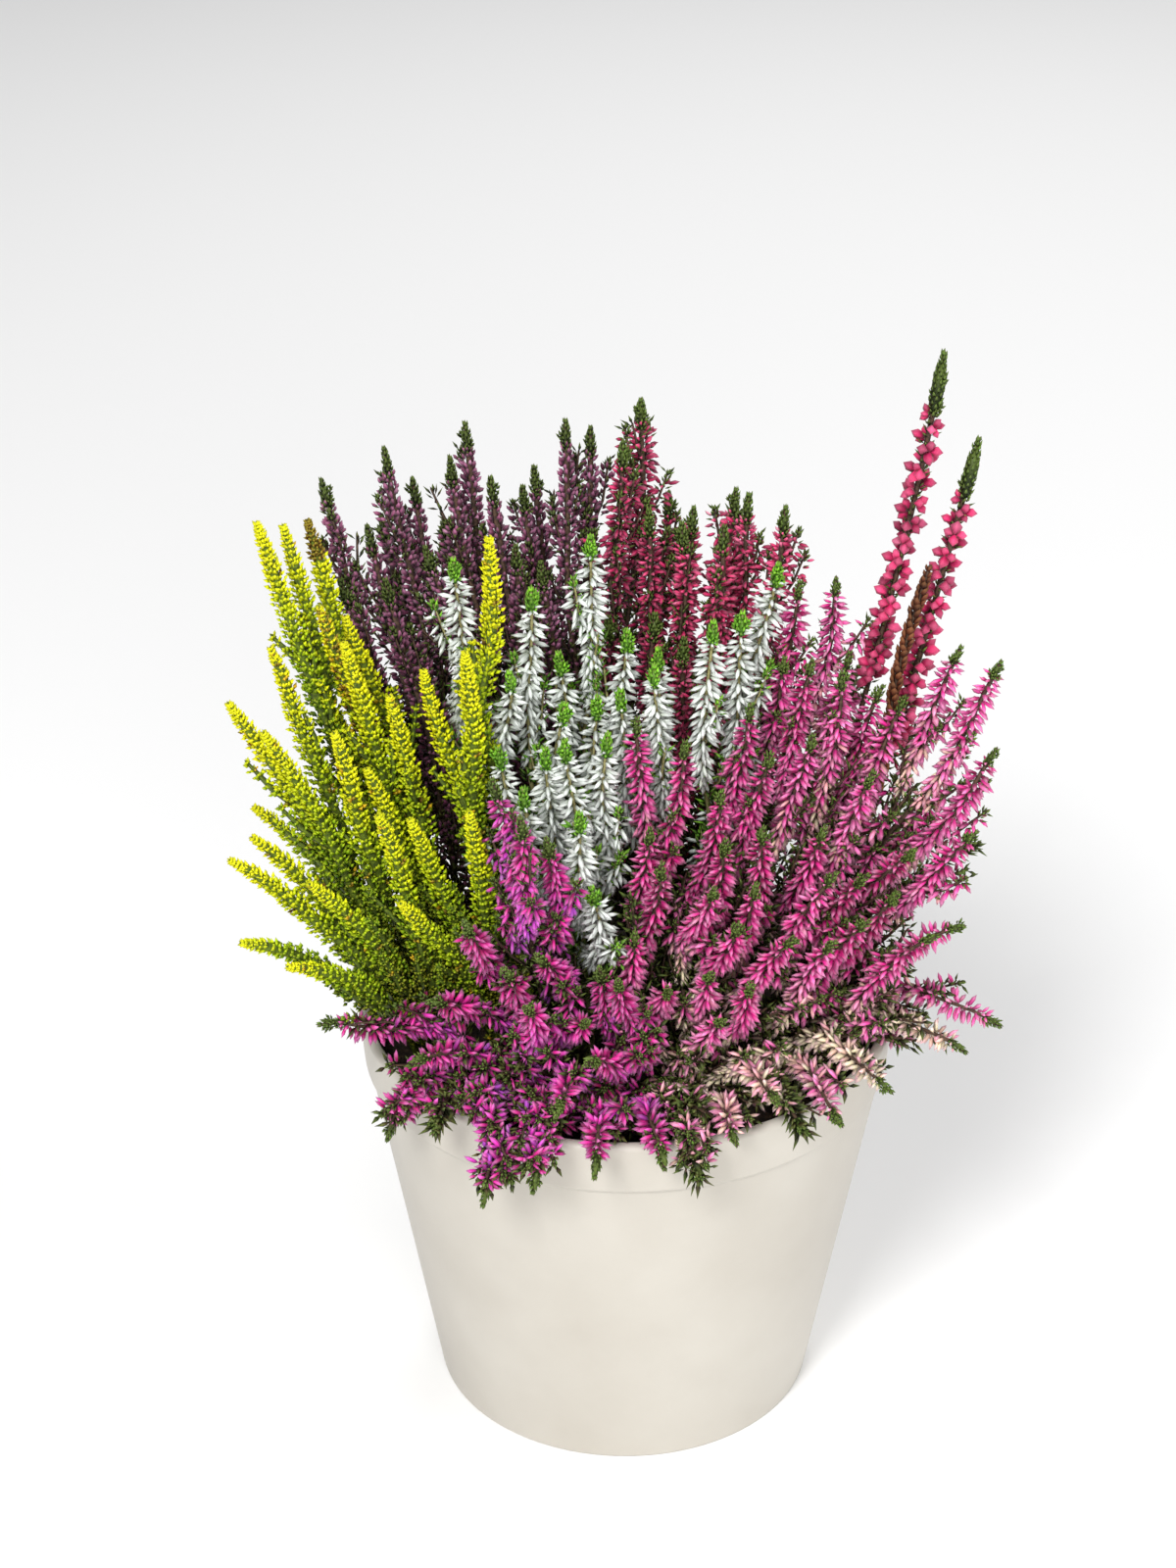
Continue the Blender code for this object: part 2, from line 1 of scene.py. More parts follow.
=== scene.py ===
# %% [markdown]
# # A pot of mixed heathers
# Six heathers grow close together in one nursery pot: a yellow-leaved one, and five that carry closed
# buds in mauve, crimson, white, pink and violet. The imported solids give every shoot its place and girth.
# This lesson dresses them: thousands of small buds and scale leaves on the same lines, moulded plastic
# and moist peat.

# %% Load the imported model
import math

import bpy
import numpy as np
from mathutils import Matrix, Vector


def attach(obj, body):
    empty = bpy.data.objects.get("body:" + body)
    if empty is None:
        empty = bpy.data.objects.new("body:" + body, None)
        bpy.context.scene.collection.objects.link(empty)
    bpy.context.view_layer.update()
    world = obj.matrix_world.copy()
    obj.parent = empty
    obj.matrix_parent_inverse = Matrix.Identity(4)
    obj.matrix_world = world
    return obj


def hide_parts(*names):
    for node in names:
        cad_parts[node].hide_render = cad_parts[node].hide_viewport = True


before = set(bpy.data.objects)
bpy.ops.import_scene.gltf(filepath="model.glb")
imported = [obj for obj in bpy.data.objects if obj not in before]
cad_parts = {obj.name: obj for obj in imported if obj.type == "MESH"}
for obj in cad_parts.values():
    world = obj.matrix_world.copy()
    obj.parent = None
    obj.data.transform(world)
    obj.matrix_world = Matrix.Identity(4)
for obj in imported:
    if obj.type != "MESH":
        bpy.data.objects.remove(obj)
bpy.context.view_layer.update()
MM = 0.001

# %% [markdown]
# ## Where every shoot stands
# The solids were grown from a short plan: for each spray, the tips of its shoots on an elevation seen
# from the front. To dress them exactly, the same plan is repeated here and grown by the same rules,
# instead of being read back from the solids' corners. A tip is (across, up, depth) in millimetres, where
# up is square to the view and depth is away from the viewer. The first tip is the main stem's. A fourth
# value names another build: tall and green shoots have sizes of their own, and rusty and withered ones
# are browner.

# %% The plan of the planting
PLANTS = {
    "yellow": {
        "bloom": 58, "radius": 3.9, "tip": 6, "tip_radius": 2.0,
        "sprays": [
            [(-99, 236, 15), (-93, 236, 24)],
            [(-87, 238, 32, "withered"), (-83, 214, 12, "rusty"), (-77, 212, 22), (-90, 196, 44),
             (-82, 176, 58)],
            [(-76, 204, 2), (-64, 190, -2), (-71, 170, -12)],
            [(-107, 188, -5), (-96, 203, 6), (-104, 160, 12)],
            [(-97, 180, -14), (-78, 180, -16)],
            [(-106, 146, -30), (-101, 152, -20), (-103, 124, -42)],
            [(-84, 140, -42), (-90, 118, -50), (-66, 158, -32)],
            [(-58, 157, -26), (-60, 135, -44), (-41, 159, -34)],
            [(-43, 201, -12), (-37, 232, 10), (-55, 197, 4)],
        ],
    },
    "purple": {
        "bloom": 54, "radius": 4.2, "tip": 9, "tip_radius": 2.3,
        "sprays": [
            [(-84, 250, 46), (-79, 224, 40)],
            [(-72, 238, 50), (-69, 242, 62), (-67, 223, 40), (-62, 204, 70)],
            [(-67, 259, 54), (-60, 252, 64), (-74, 186, 60), (-68, 156, 68, "green")],
            [(-45, 267, 66), (-49, 257, 57), (-46, 210, 72), (-42, 176, 82)],
            [(-52, 242, 72), (-56, 232, 46), (-54, 188, 76), (-56, 162, 78, "green")],
            [(-38, 252, 60), (-31, 233, 50), (-41, 192, 10)],
            [(-26, 256, 72), (-29, 250, 64), (-24, 228, 44), (-12, 206, 76), (-30, 192, 78)],
            [(-17, 267, 60), (-10, 266, 68), (-26, 182, 82), (-14, 164, 86, "green")],
        ],
    },
    "crimson": {
        "bloom": 48, "radius": 5.0, "tip": 9, "tip_radius": 2.4,
        "sprays": [
            [(4, 273, 64), (-1, 261, 56), (-5, 213, 40), (24, 208, 74), (-2, 188, 80)],
            [(12, 249, 70), (6, 243, 52), (8, 214, 41), (12, 190, 80), (22, 172, 84)],
            [(19, 244, 60), (15, 239, 50), (16, 207, 36), (2, 164, 84, "green")],
            [(31, 249, 62), (34, 247, 54), (27, 238, 47), (36, 196, 76), (30, 164, 84, "green")],
            [(44, 243, 48), (54, 196, 68), (45, 182, 78), (52, 164, 76, "green")],
            [(84, 281, 34, "tall"), (88, 186, 42, "green")],
            [(93, 258, 22, "tall")],
        ],
    },
    "white": {
        "bloom": 44, "radius": 5.0, "tip": 7, "tip_radius": 2.5,
        "sprays": [
            [(-47, 227, 18), (-34, 197, 2)],
            [(-26, 219, 14), (-20, 202, 16)],
            [(-10, 233, 22), (0, 208, 15)],
            [(8, 203, 12), (7, 198, 0), (-2, 192, 6)],
            [(31, 213, 14), (23, 210, 6), (41, 226, 24)],
            [(-16, 188, -2), (-8, 190, 1), (-5, 180, -10)],
            [(-22, 176, -12), (-36, 176, -10), (-28, 165, -22)],
            [(-17, 178, -18), (-13, 159, -30), (-13, 139, -40)],
        ],
    },
    "pink": {
        "bloom": 42, "radius": 5.2, "tip": 6, "tip_radius": 2.4,
        "sprays": [
            [(47, 222, 28), (43, 201, 14), (50, 200, 6)],
            [(57, 223, 30), (61, 203, 20)],
            [(71, 193, 8), (77, 190, 2), (57, 197, 4)],
            [(89, 203, 0), (99, 199, -6), (93, 166, 30), (99, 150, 10, "green"), (92, 150, 40, "green")],
            [(98, 176, -15), (93, 154, -26)],
            [(76, 180, 50), (80, 152, 52, "green"), (66, 200, 46), (64, 172, 66)],
            [(33, 188, 0), (39, 175, -10), (50, 180, -6)],
            [(15, 178, -14), (3, 185, -4), (25, 165, -16)],
            [(66, 170, -12), (77, 149, -25), (53, 155, -20)],
            [(36, 155, -24), (26, 152, -26), (34, 140, -36)],
            [(9, 146, -34), (6, 155, -24), (2, 128, -44)],
            [(23, 139, -42), (29, 130, -48), (44, 126, -48)],
            [(65, 142, -28), (56, 143, -32), (64, 130, -40)],
            [(72, 138, -30), (91, 128, -28), (83, 126, -38)],
            [(103, 99, -25), (92, 93, -40)],
            [(55, 125, -46), (70, 84, -62), (56, 76, -74), (46, 74, -80, "green")],
            [(22, 117, -56), (32, 114, -61), (11, 110, -58), (18, 62, -90, "green")],
            [(25, 105, -66), (28, 72, -84), (39, 82, -78)],
        ],
    },
    "violet": {
        "bloom": 32, "radius": 5.6, "tip": 8, "tip_radius": 2.6,
        "sprays": [
            [(-28, 158, -54), (-36, 168, -32)],
            [(-22, 152, -46), (-25, 122, -54)],
            [(-43, 131, -60), (-33, 119, -60), (-53, 109, -60)],
            [(-3, 116, -70), (-8, 118, -54)],
            [(-13, 93, -78), (-19, 80, -86), (-9, 64, -92), (9, 66, -90)],
            [(-27, 109, -76), (-11, 104, -68), (-38, 56, -90), (-25, 60, -92)],
            [(-58, 92, -67), (-83, 102, -46), (-64, 70, -62), (-51, 74, -76, "green")],
        ],
    },
    "dead": {
        "bloom": 46, "radius": 2.8, "tip": 6, "tip_radius": 1.6,
        "sprays": [[(81, 225, 14)]],
    },
}
BUILDS = {
    "tall": {"bloom": 78, "radius": 6.0, "tip": 18},
    "green": {"bloom": 30, "radius": 3.4, "tip": 6},
}
print("sprays:", sum(len(kind["sprays"]) for kind in PLANTS.values()))

# %% [markdown]
# ## How a shoot bends
# A heather stem leaves the soil nearly upright and leans out towards the light, more so the further out
# and the lower it ends. A cubic curve with its two end directions set does that with four points, and
# keeps every stem free of kinks.

# %% Curves of main stems and side shoots
LOOK_DOWN = math.radians(28.0)
LEAN_HALF = math.radians(70.0)
LEAN_POWER = 2.4
LEAN_MOST = math.radians(150.0)
RISE_SHARE = 0.35
RISE_LEAST = 20.0
DRIFT = 0.2
TIP_REACH = 0.4
SIDE_TURN = 0.8
SIDE_FOOT_REACH = 0.33
SIDE_TIP_REACH = 0.36
FORK_AHEAD = 0.02
SOIL_TOP = 108.0
SOIL_CROWN = 2.0


def in_space(across, up, depth):
    """The point of the elevation in the pot's own frame."""
    z = (up - depth * math.sin(LOOK_DOWN)) / math.cos(LOOK_DOWN)
    return np.array([across, depth, z], float)


def tip_direction(tip):
    """The way a shoot's end points: the further out and the lower its tip, the more it leans."""
    out = math.hypot(tip[0], tip[1])
    fall = math.atan2(out, tip[2] - SOIL_TOP)
    lean = min(math.pi / 2 * (fall / LEAN_HALF) ** LEAN_POWER, LEAN_MOST)
    heading = tip[:2] / max(out, 1.0)
    return np.array([*(heading * math.sin(lean)), math.cos(lean)])


def bezier(points, share):
    """Points of a cubic curve at each share of it, from its four control points."""
    t = np.asarray(share, float)[:, None]
    return ((1 - t) ** 3 * points[0] + 3 * t * (1 - t) ** 2 * points[1]
            + 3 * t ** 2 * (1 - t) * points[2] + t ** 3 * points[3])


def length_of(line):
    """The length of a line of points."""
    return np.linalg.norm(np.diff(line, axis=0), axis=1).sum()


def main_curve(root, tip):
    """A main stem's curve, from its hole nearly straight up, then over towards its tip."""
    start = np.array([*root, SOIL_TOP + SOIL_CROWN])
    reach = np.linalg.norm(tip - start)
    rise = max(RISE_SHARE * (tip[2] - start[2]), RISE_LEAST)
    first = start + np.array([*(DRIFT * (tip - start)[:2]), rise])
    return np.array([start, first, tip - TIP_REACH * reach * tip_direction(tip), tip])


def side_curve(main, share, tip):
    """A side shoot's curve, which leaves the main stem at a share of its curve."""
    start, ahead = bezier(main["points"], [share, share + FORK_AHEAD])
    way = (ahead - start) / np.linalg.norm(ahead - start)
    reach = np.linalg.norm(tip - start)
    aim = way + SIDE_TURN * (tip - start) / reach
    first = start + SIDE_FOOT_REACH * reach * aim / np.linalg.norm(aim)
    return np.array([start, first, tip - SIDE_TIP_REACH * reach * tip_direction(tip), tip])


low_outer = tip_direction(np.array([90.0, 0.0, 120.0]))
print("a low outer shoot leans", round(math.degrees(math.acos(low_outer[2]))), "degrees")

# %% [markdown]
# ## From the plan to shoots
# Each spray's stem enters the soil part way in under its tip, with no two too close. Its side shoots
# leave it below its flowers, the first of them highest. Every shoot is kept as a small dictionary: its
# plant, its build, its curve and its length.

# %% Every shoot as it would grow alone
ROOT_SPAN = 60.0
ROOT_SHARE = 0.6
ROOT_APART = 6.8
ROOT_ROUNDS = 400
FORK_LOW = 0.17
FORK_HIGH = 0.45
FORK_STEP = 0.19
FORK_BARE = 0.7
CURVE_STEPS = 40


def place_roots(tips):
    """Where the sprays' stems enter the soil."""
    roots = ROOT_SHARE * np.array(tips)[:, :2]
    for _ in range(ROOT_ROUNDS):
        gap = roots[:, None] - roots[None]
        far = np.linalg.norm(gap, axis=2) + 1e9 * np.eye(len(roots))
        short = np.maximum(ROOT_APART - far, 0)
        roots = roots + 0.5 * (gap / far[:, :, None] * short[:, :, None]).sum(1)
        out = np.linalg.norm(roots, axis=1)
        roots = roots * np.minimum(1, ROOT_SPAN / np.maximum(out, 1e-6))[:, None]
    return roots


def plan_shoots():
    """Every shoot of the plan, and the places of the stems in the soil."""
    sprays = [(plant, spray) for plant, kind in PLANTS.items() for spray in kind["sprays"]]
    roots = place_roots([in_space(*spray[0][:3]) for _, spray in sprays])
    shoots = []
    for (plant, spray), root in zip(sprays, roots):
        first = len(shoots)
        for order, (across, up, depth, *build) in enumerate(spray):
            build = build[0] if build else "flowering"
            style = {**PLANTS[plant], **BUILDS.get(build, {})}
            shoot = {"plant": plant, "main": first, "order": order, "style": style, "build": build}
            tip = in_space(across, up, depth)
            if order:
                main = shoots[first]
                flowers = (main["style"]["tip"] + main["style"]["bloom"]) / main["length"]
                highest = float(np.clip(FORK_BARE * (1 - flowers), FORK_LOW, FORK_HIGH))
                shoot["fork"] = highest * (1 - FORK_STEP * (order - 1))
                shoot["points"] = side_curve(main, shoot["fork"], tip)
            else:
                shoot["points"] = main_curve(root, tip)
            shoot["length"] = length_of(bezier(shoot["points"], np.linspace(0, 1, CURVE_STEPS)))
            shoots.append(shoot)
    return shoots, roots


shoots, roots = plan_shoots()
print("shoots:", len(shoots), "stems in the soil:", len(roots))

# %% [markdown]
# ## Girth
# To keep shoots apart, their girth has to be known: a slim green tip, flowers that swell quickly and
# thin out at their foot, and a leafy stem below.

# %% Girth of a shoot along its length
LEAFY_R = 2.2
TIP_MOST = 0.25
BLOOM_MOST = 0.84
TIP_START = 0.5
FLOWER_START = 0.6
FLOWER_SWELL = 2.0
FLOWER_END = 0.55
FLOWER_THIN = 2.2


def zones(shoot):
    """The lengths of a shoot's green tip and of its flowers."""
    tip = min(shoot["style"]["tip"], TIP_MOST * shoot["length"])
    return tip, min(shoot["style"]["bloom"], BLOOM_MOST * shoot["length"] - tip)


def girth(shoot, down):
    """The radius of a shoot at each length down from its tip."""
    style = shoot["style"]
    tip, bloom = zones(shoot)
    along = np.clip((down - tip) / bloom, 0, 1)
    swell = np.minimum(1, FLOWER_START + FLOWER_SWELL * along)
    flower = style["radius"] * swell * np.minimum(1, FLOWER_END + FLOWER_THIN * (1 - along))
    tapered = style["tip_radius"] * np.minimum(1, TIP_START + down / tip)
    return np.where(down < tip, tapered, np.where(down < tip + bloom, flower, LEAFY_R))


print("girths of the first shoot:", np.round(girth(shoots[0], np.array([2.0, 20.0, 60.0])), 1), "mm")

# %% [markdown]
# ## How the shoots share the space
# Real shoots grow round one another. Each line is therefore moved off its neighbours, the rim and the
# soil until the bodies of its flowers just clear them. A push at one point carries along the stem by a
# bell curve a few millimetres wide, so that stems bow gently and never kink.

# %% What pushes the shoots, and how a push carries
RIM_R = 75.0
POT_H = 120.0
SAMPLES = 30
AIR = 1.1
STIFF_SPAN = 7.5
LIP_CORE = 1.5
LIP_CLEAR = 3.2


def stiffness(shoots):
    """For each shoot, how far a push at one sample point carries to the others: a stem bends and
    never kinks."""
    along = np.linspace(0, 1, SAMPLES)[None] * np.array([s["length"] for s in shoots])[:, None]
    shares = np.exp(-0.5 * ((along[:, :, None] - along[:, None]) / STIFF_SPAN) ** 2)
    return shares / shares.sum(2, keepdims=True)


def close_pairs(at, need, skip, reach):
    """The pairs of sample points, of shoots that may not touch, that lie near each other."""
    points = at.reshape(-1, 3).astype(np.float32)
    square = (points ** 2).sum(1)
    far = square[:, None] + square[None] - 2 * points @ points.T
    one, two = np.nonzero(far < (need[:, None] + need[None] + AIR + reach) ** 2)
    keep = (one < two) & ~skip(one, two)
    return one[keep], two[keep]


def off_the_pot(at, radius, free):
    """How far each sample point has to move to clear the pot's rim and the soil."""
    out = np.linalg.norm(at[..., :2], axis=-1)
    gap = np.stack([out - (RIM_R - LIP_CORE), at[..., 2] - (POT_H - LIP_CORE)], axis=-1)
    far = np.maximum(np.linalg.norm(gap, axis=-1), 1e-6)
    short = np.maximum(radius + LIP_CLEAR + AIR - far, 0) / far
    heading = at[..., :2] / np.maximum(out, 1e-6)[..., None]
    push = np.zeros_like(at)
    push[..., :2] = heading * (gap[..., 0] * short)[..., None]
    push[..., 2] = np.abs(gap[..., 1]) * short
    beside = (out > RIM_R - LIP_CLEAR) & (at[..., 2] < POT_H)
    push[..., :2] += heading * (np.maximum(RIM_R + radius + AIR - out, 0) * beside)[..., None]
    sunk = np.maximum(SOIL_TOP + SOIL_CROWN + radius + AIR - at[..., 2], 0)
    push[..., 2] += sunk * (out < RIM_R - LIP_CLEAR) * free
    return push


on_rim = np.array([[[RIM_R, 0.0, POT_H]]])
print("a bare stem on the rim moves by", np.round(off_the_pot(on_rim, np.zeros((1, 1)), True)[0, 0], 1), "mm")

# %% Let the shoots grow clear of one another
ROUNDS = 200
SETTLE_ROUNDS = 70
RELIST = 8
RELIST_REACH = 4.0
EAGER = 0.8
RECALL = 0.985
NEAR_ROOT = 0.15
NEAR_FORK = 0.3


def grow_apart(shoots):
    """Moves the shoots clear of one another, of the pot and of the soil. Each keeps its root, and
    nearly its tip."""
    share = np.linspace(0, 1, SAMPLES)
    base = np.stack([bezier(s["points"], share) for s in shoots])
    radius = np.stack([girth(s, (1 - share) * s["length"]) for s in shoots])
    main = np.repeat([s["main"] for s in shoots], SAMPLES)
    owner = np.repeat(np.arange(len(shoots)), SAMPLES)
    near_fork = np.tile(share, len(shoots)) < NEAR_FORK
    sides = [(k, s["main"], s["fork"]) for k, s in enumerate(shoots) if s["order"]]
    rooted = np.array([s["order"] == 0 for s in shoots])[:, None]
    ramp = np.where(rooted, np.minimum(1, share / NEAR_ROOT)[None], 1.0)
    free = np.where(rooted, share[None] > NEAR_ROOT, share[None] > NEAR_FORK)
    need = radius.reshape(-1)

    def skip(one, two):
        """Which pairs may touch: points of one shoot, and those near the fork that two shoots share."""
        forked = (main[one] == main[two]) & (near_fork[one] | near_fork[two])
        return forked | (owner[one] == owner[two])

    carry = stiffness(shoots)
    moved = np.zeros_like(base)
    for turn in range(ROUNDS):
        at = base + moved
        if turn % RELIST == 0:
            one, two = close_pairs(at, need, skip, RELIST_REACH)
        flat = at.reshape(-1, 3)
        gap = flat[one] - flat[two]
        far = np.maximum(np.linalg.norm(gap, axis=1), 1e-6)
        short = np.maximum(need[one] + need[two] + AIR - far, 0) / far
        push = np.zeros_like(flat)
        np.add.at(push, one, gap * short[:, None])
        np.add.at(push, two, -gap * short[:, None])
        touched = np.bincount(np.concatenate([one[short > 0], two[short > 0]]), minlength=len(flat))
        push /= np.maximum(touched, 1)[:, None]
        push = push.reshape(at.shape) + off_the_pot(at, radius, free)
        moved += EAGER * (carry @ push) * ramp[:, :, None]
        if turn < ROUNDS - SETTLE_ROUNDS:
            moved *= RECALL
        for k, above, fork in sides:
            shift = [np.interp(fork, share, moved[above, :, axis]) for axis in range(3)]
            moved[k] += (shift - moved[k, 0]) * ((1 - share) ** 2)[:, None]
    for shoot, line, step in zip(shoots, base, moved):
        shoot["line"] = line + step
        shoot["length"] = length_of(shoot["line"])


grow_apart(shoots)
print("longest shoot:", round(max(s["length"] for s in shoots)), "mm")

# %% [markdown]
# ## A course down each shoot
# To stand buds and leaves on a bent stem, each needs the stem's centre there, the way that it grows, and
# two directions square to it. The square directions are carried along from the tip, turning only as much
# as the stem does, so that rows of buds don't twist where a stem bends.

# %% Course of a shoot
COURSE_STEPS = 90
SMOOTH_ROUNDS = 8
FIRST_ACROSS = (0.3, 1.0, 0.1)


def unit(vectors):
    """The vectors at length one."""
    return vectors / np.maximum(np.linalg.norm(vectors, axis=-1, keepdims=True), 1e-9)


def course_of(shoot, steps, rounds):
    """Points at even steps down from the tip, the way of growth at each, and a direction square to it."""
    line = shoot["line"][::-1]
    along = np.concatenate([[0], np.cumsum(np.linalg.norm(np.diff(line, axis=0), axis=1))])
    downs = np.linspace(0, along[-1], steps)
    points = np.stack([np.interp(downs, along, line[:, axis]) for axis in range(3)], axis=1)
    for _ in range(rounds):
        points[1:-1] = (points[:-2] + 2 * points[1:-1] + points[2:]) / 4
    ways = unit(-np.gradient(points, axis=0))
    sides = np.empty_like(ways)
    side = unit(np.cross(ways[0], FIRST_ACROSS))
    for k, way in enumerate(ways):
        side = unit(side - way * (side @ way))
        sides[k] = side
    return points, ways, sides


def stand_on(shoot, down):
    """For lengths down from a shoot's tip: its centres, its ways of growth and two directions across."""
    steps = len(shoot["course"][0])
    place = np.clip(np.asarray(down) / shoot["length"], 0, 1) * (steps - 1)
    low = np.minimum(place.astype(int), steps - 2)
    part = (place - low)[:, None]
    centre, way, side = (rows[low] * (1 - part) + rows[low + 1] * part for rows in shoot["course"])
    way = unit(way)
    side = unit(side - way * (side * way).sum(1, keepdims=True))
    return centre, way, side, np.cross(way, side)


for shoot in shoots:
    shoot["course"] = course_of(shoot, COURSE_STEPS, SMOOTH_ROUNDS)
print("courses:", len(shoots), "of", COURSE_STEPS, "steps")

# %% [markdown]
# ## Rows round a shoot
# Buds and leaves both stand in rows, every row half a step on from the last, as tiles lie on a roof. Three
# helpers serve them all: one counts the rows round, one finds the way out from the stem at each place,
# and one turns a direction towards another by an angle.

# %% Rows, ways out and slants


def rows_round(rows, around, twist=None):
    """The row, and the turn round the stem, of each bud or leaf. A row is turned on from the last by
    twist, or by half a step."""
    row = np.repeat(np.arange(rows), around)
    slot = np.tile(np.arange(around), rows)
    return row, 2 * math.pi * slot / around + row * (math.pi / around if twist is None else twist)


def out_from(shoot, down, turn):
    """At lengths down a shoot: its centres, its ways of growth, and the ways out from it at each turn."""
    centre, way, side, front = stand_on(shoot, down)
    return centre, way, slanted(side, front, turn)


def slanted(one, other, angle):
    """Directions turned from one to another, square to it, by an angle each."""
    return one * np.cos(angle)[:, None] + other * np.sin(angle)[:, None]


print("places in 10 rows of 6:", len(rows_round(10, 6)[0]))

# %% [markdown]
# ## One small body, thousands of times
# A bud and a scale leaf are both closed spindles, pointed at each end. One function makes such a body
# from a few rings, and another sets copies of it along a plant as a single mesh. Hair or instances would
# be lighter, but only real copies stay whole outside Blender.
#
# Each copy is also laid on a palette map. A column of the map stands for one tone of colour and one depth
# of shade, the way across a column goes round the body, and the way up goes from its foot to its point.
# A material can then colour a bud from foot to point, and no two neighbours need be alike.

# %% Spindles
PALETTE_MAP = "OFBake"
TONES = 10
SHADES = 3
COLUMNS = TONES * SHADES
COLUMN_EDGE = 0.06
ROW_EDGE = 0.02


def spindle(rings, sides):
    """A closed body on the z axis, through rings of (height, radius) between points at 0 and 1: its
    points, its triangles, and how far round and up each triangle's corners lie."""
    points = [(0, 0, 0)]
    for height, radius in rings:
        turns = np.arange(sides) * 2 * math.pi / sides
        points += [(radius * math.cos(a), radius * math.sin(a), height) for a in turns]
    points.append((0, 0, 1))
    heights = [0, *(height for height, _ in rings), 1]
    top = len(rings) + 1

    def corner(level, k):
        """A point's number, and its place round and up."""
        number = {0: 0, top: len(points) - 1}.get(level, 1 + (level - 1) * sides + k % sides)
        return number, (k / sides, heights[level])

    triangles = []
    for k in range(sides):
        triangles.append([corner(0, k + 0.5), corner(1, k + 1), corner(1, k)])
        for level in range(1, top - 1):
            low, high = corner(level, k), corner(level + 1, k + 1)
            triangles += [[low, corner(level, k + 1), high], [low, high, corner(level + 1, k)]]
        triangles.append([corner(top - 1, k), corner(top - 1, k + 1), corner(top, k + 0.5)])
    faces = [[number for number, _ in triangle] for triangle in triangles]
    corners = [[place for _, place in triangle] for triangle in triangles]
    return np.array(points, float), np.array(faces), np.array(corners, float)


BUD = spindle([(0.20, 0.85), (0.62, 0.98)], 4)
SMALL_BUD = spindle([(0.22, 0.9), (0.64, 1.0)], 3)
NEEDLE = spindle([(0.45, 1.0)], 3)
LUMP = spindle([(0.35, 1.0)], 5)
print("triangles in a bud:", len(BUD[1]), "in a needle:", len(NEEDLE[1]))

# %% Copies of a body as one mesh


def packed(feet, aims, beside, grown, full_size, tones, shades):
    """Copies of a body, as set_out takes them. Each has grown to its share of the full size (length, half
    width and half thickness), and its width lies square to its own beside."""
    sizes = grown[:, None] * np.array(full_size)
    return feet, aims, unit(np.cross(aims, beside)), sizes, np.clip(tones, 0, 1), shades


def set_out(body, copies):
    """The points, triangles and map places of copies of a body."""
    points, faces, corners = body
    feet, aims, across, sizes, tones, shades = copies
    axes = np.stack([across, np.cross(aims, across), aims], axis=1)
    placed = feet[:, None] + (points * sizes[:, None, [1, 2, 0]]) @ axes
    numbered = faces + (np.arange(len(feet)) * len(points))[:, None, None]
    tone = np.clip((tones * TONES).astype(int), 0, TONES - 1)
    shade = np.clip((shades * SHADES).astype(int), 0, SHADES - 1)
    column = (tone * SHADES + shade)[:, None, None]
    turn = (column + COLUMN_EDGE + (1 - 2 * COLUMN_EDGE) * corners[..., 0]) / COLUMNS
    up = np.broadcast_to(ROW_EDGE + (1 - 2 * ROW_EDGE) * corners[..., 1], turn.shape)
    return placed.reshape(-1, 3), numbered.reshape(-1, 3), np.stack([turn, up], axis=-1).reshape(-1, 2)


def gathered(parts):
    """Several bodies as one: their points, their triangles, and their map places if they have them."""
    starts = np.cumsum([0] + [len(part[0]) for part in parts[:-1]])
    moved = [(points, faces + start, *rest) for (points, faces, *rest), start in zip(parts, starts)]
    return [np.concatenate(arrays) for arrays in zip(*moved)]


def in_scene(name, data):
    """A new object for a mesh, a light or a camera, linked to the scene."""
    obj = bpy.data.objects.new(name, data)
    bpy.context.scene.collection.objects.link(obj)
    return obj


def mesh_object(name, finish, points, faces, places=None):
    """A mesh object from millimetre points, triangles and their corners' places on the palette map."""
    mesh = bpy.data.meshes.new(name)
    mesh.vertices.add(len(points))
    mesh.vertices.foreach_set("co", (points * MM).astype(np.float32).ravel())
    mesh.loops.add(faces.size)
    mesh.loops.foreach_set("vertex_index", faces.astype(np.int32).ravel())
    mesh.polygons.add(len(faces))
    mesh.polygons.foreach_set("loop_start", np.arange(0, faces.size, 3, dtype=np.int32))
    mesh.update(calc_edges=True)
    if places is not None:
        layer = mesh.uv_layers.new(name=PALETTE_MAP)
        layer.uv.foreach_set("vector", places.astype(np.float32).ravel())
    mesh.shade_smooth()
    mesh.materials.append(finish)
    print(f"{name}: {len(faces)} triangles")
    return in_scene(name, mesh)


print("columns of the palette map:", COLUMNS)

# %% [markdown]
# ## Materials in code
# A few helpers serve every material here. One turns an sRGB hex value, as a colour is read off a picture,
# to the linear light that a shader works in. One sets or links the inputs of a node, and one adds a node
# with its settings and its links. Nodes could be joined by hand in the editor, but code can be read.

# %% Colour and node helpers


def linear(hex_value):
    """An sRGB hex colour in linear light."""
    channels = [int(hex_value[k:k + 2], 16) / 255 for k in (1, 3, 5)]
    return (*[c / 12.92 if c <= 0.04045 else ((c + 0.055) / 1.055) ** 2.4 for c in channels], 1.0)


def put_in(node, inputs):
    """Sets a node's inputs, or links them to an output. Another node stands for its first output."""
    for name, value in inputs.items():
        if isinstance(value, bpy.types.Node):
            value = value.outputs[0]
        if isinstance(value, bpy.types.NodeSocket):
            node.id_data.links.new(value, node.inputs[name])
        else:
            node.inputs[name].default_value = value


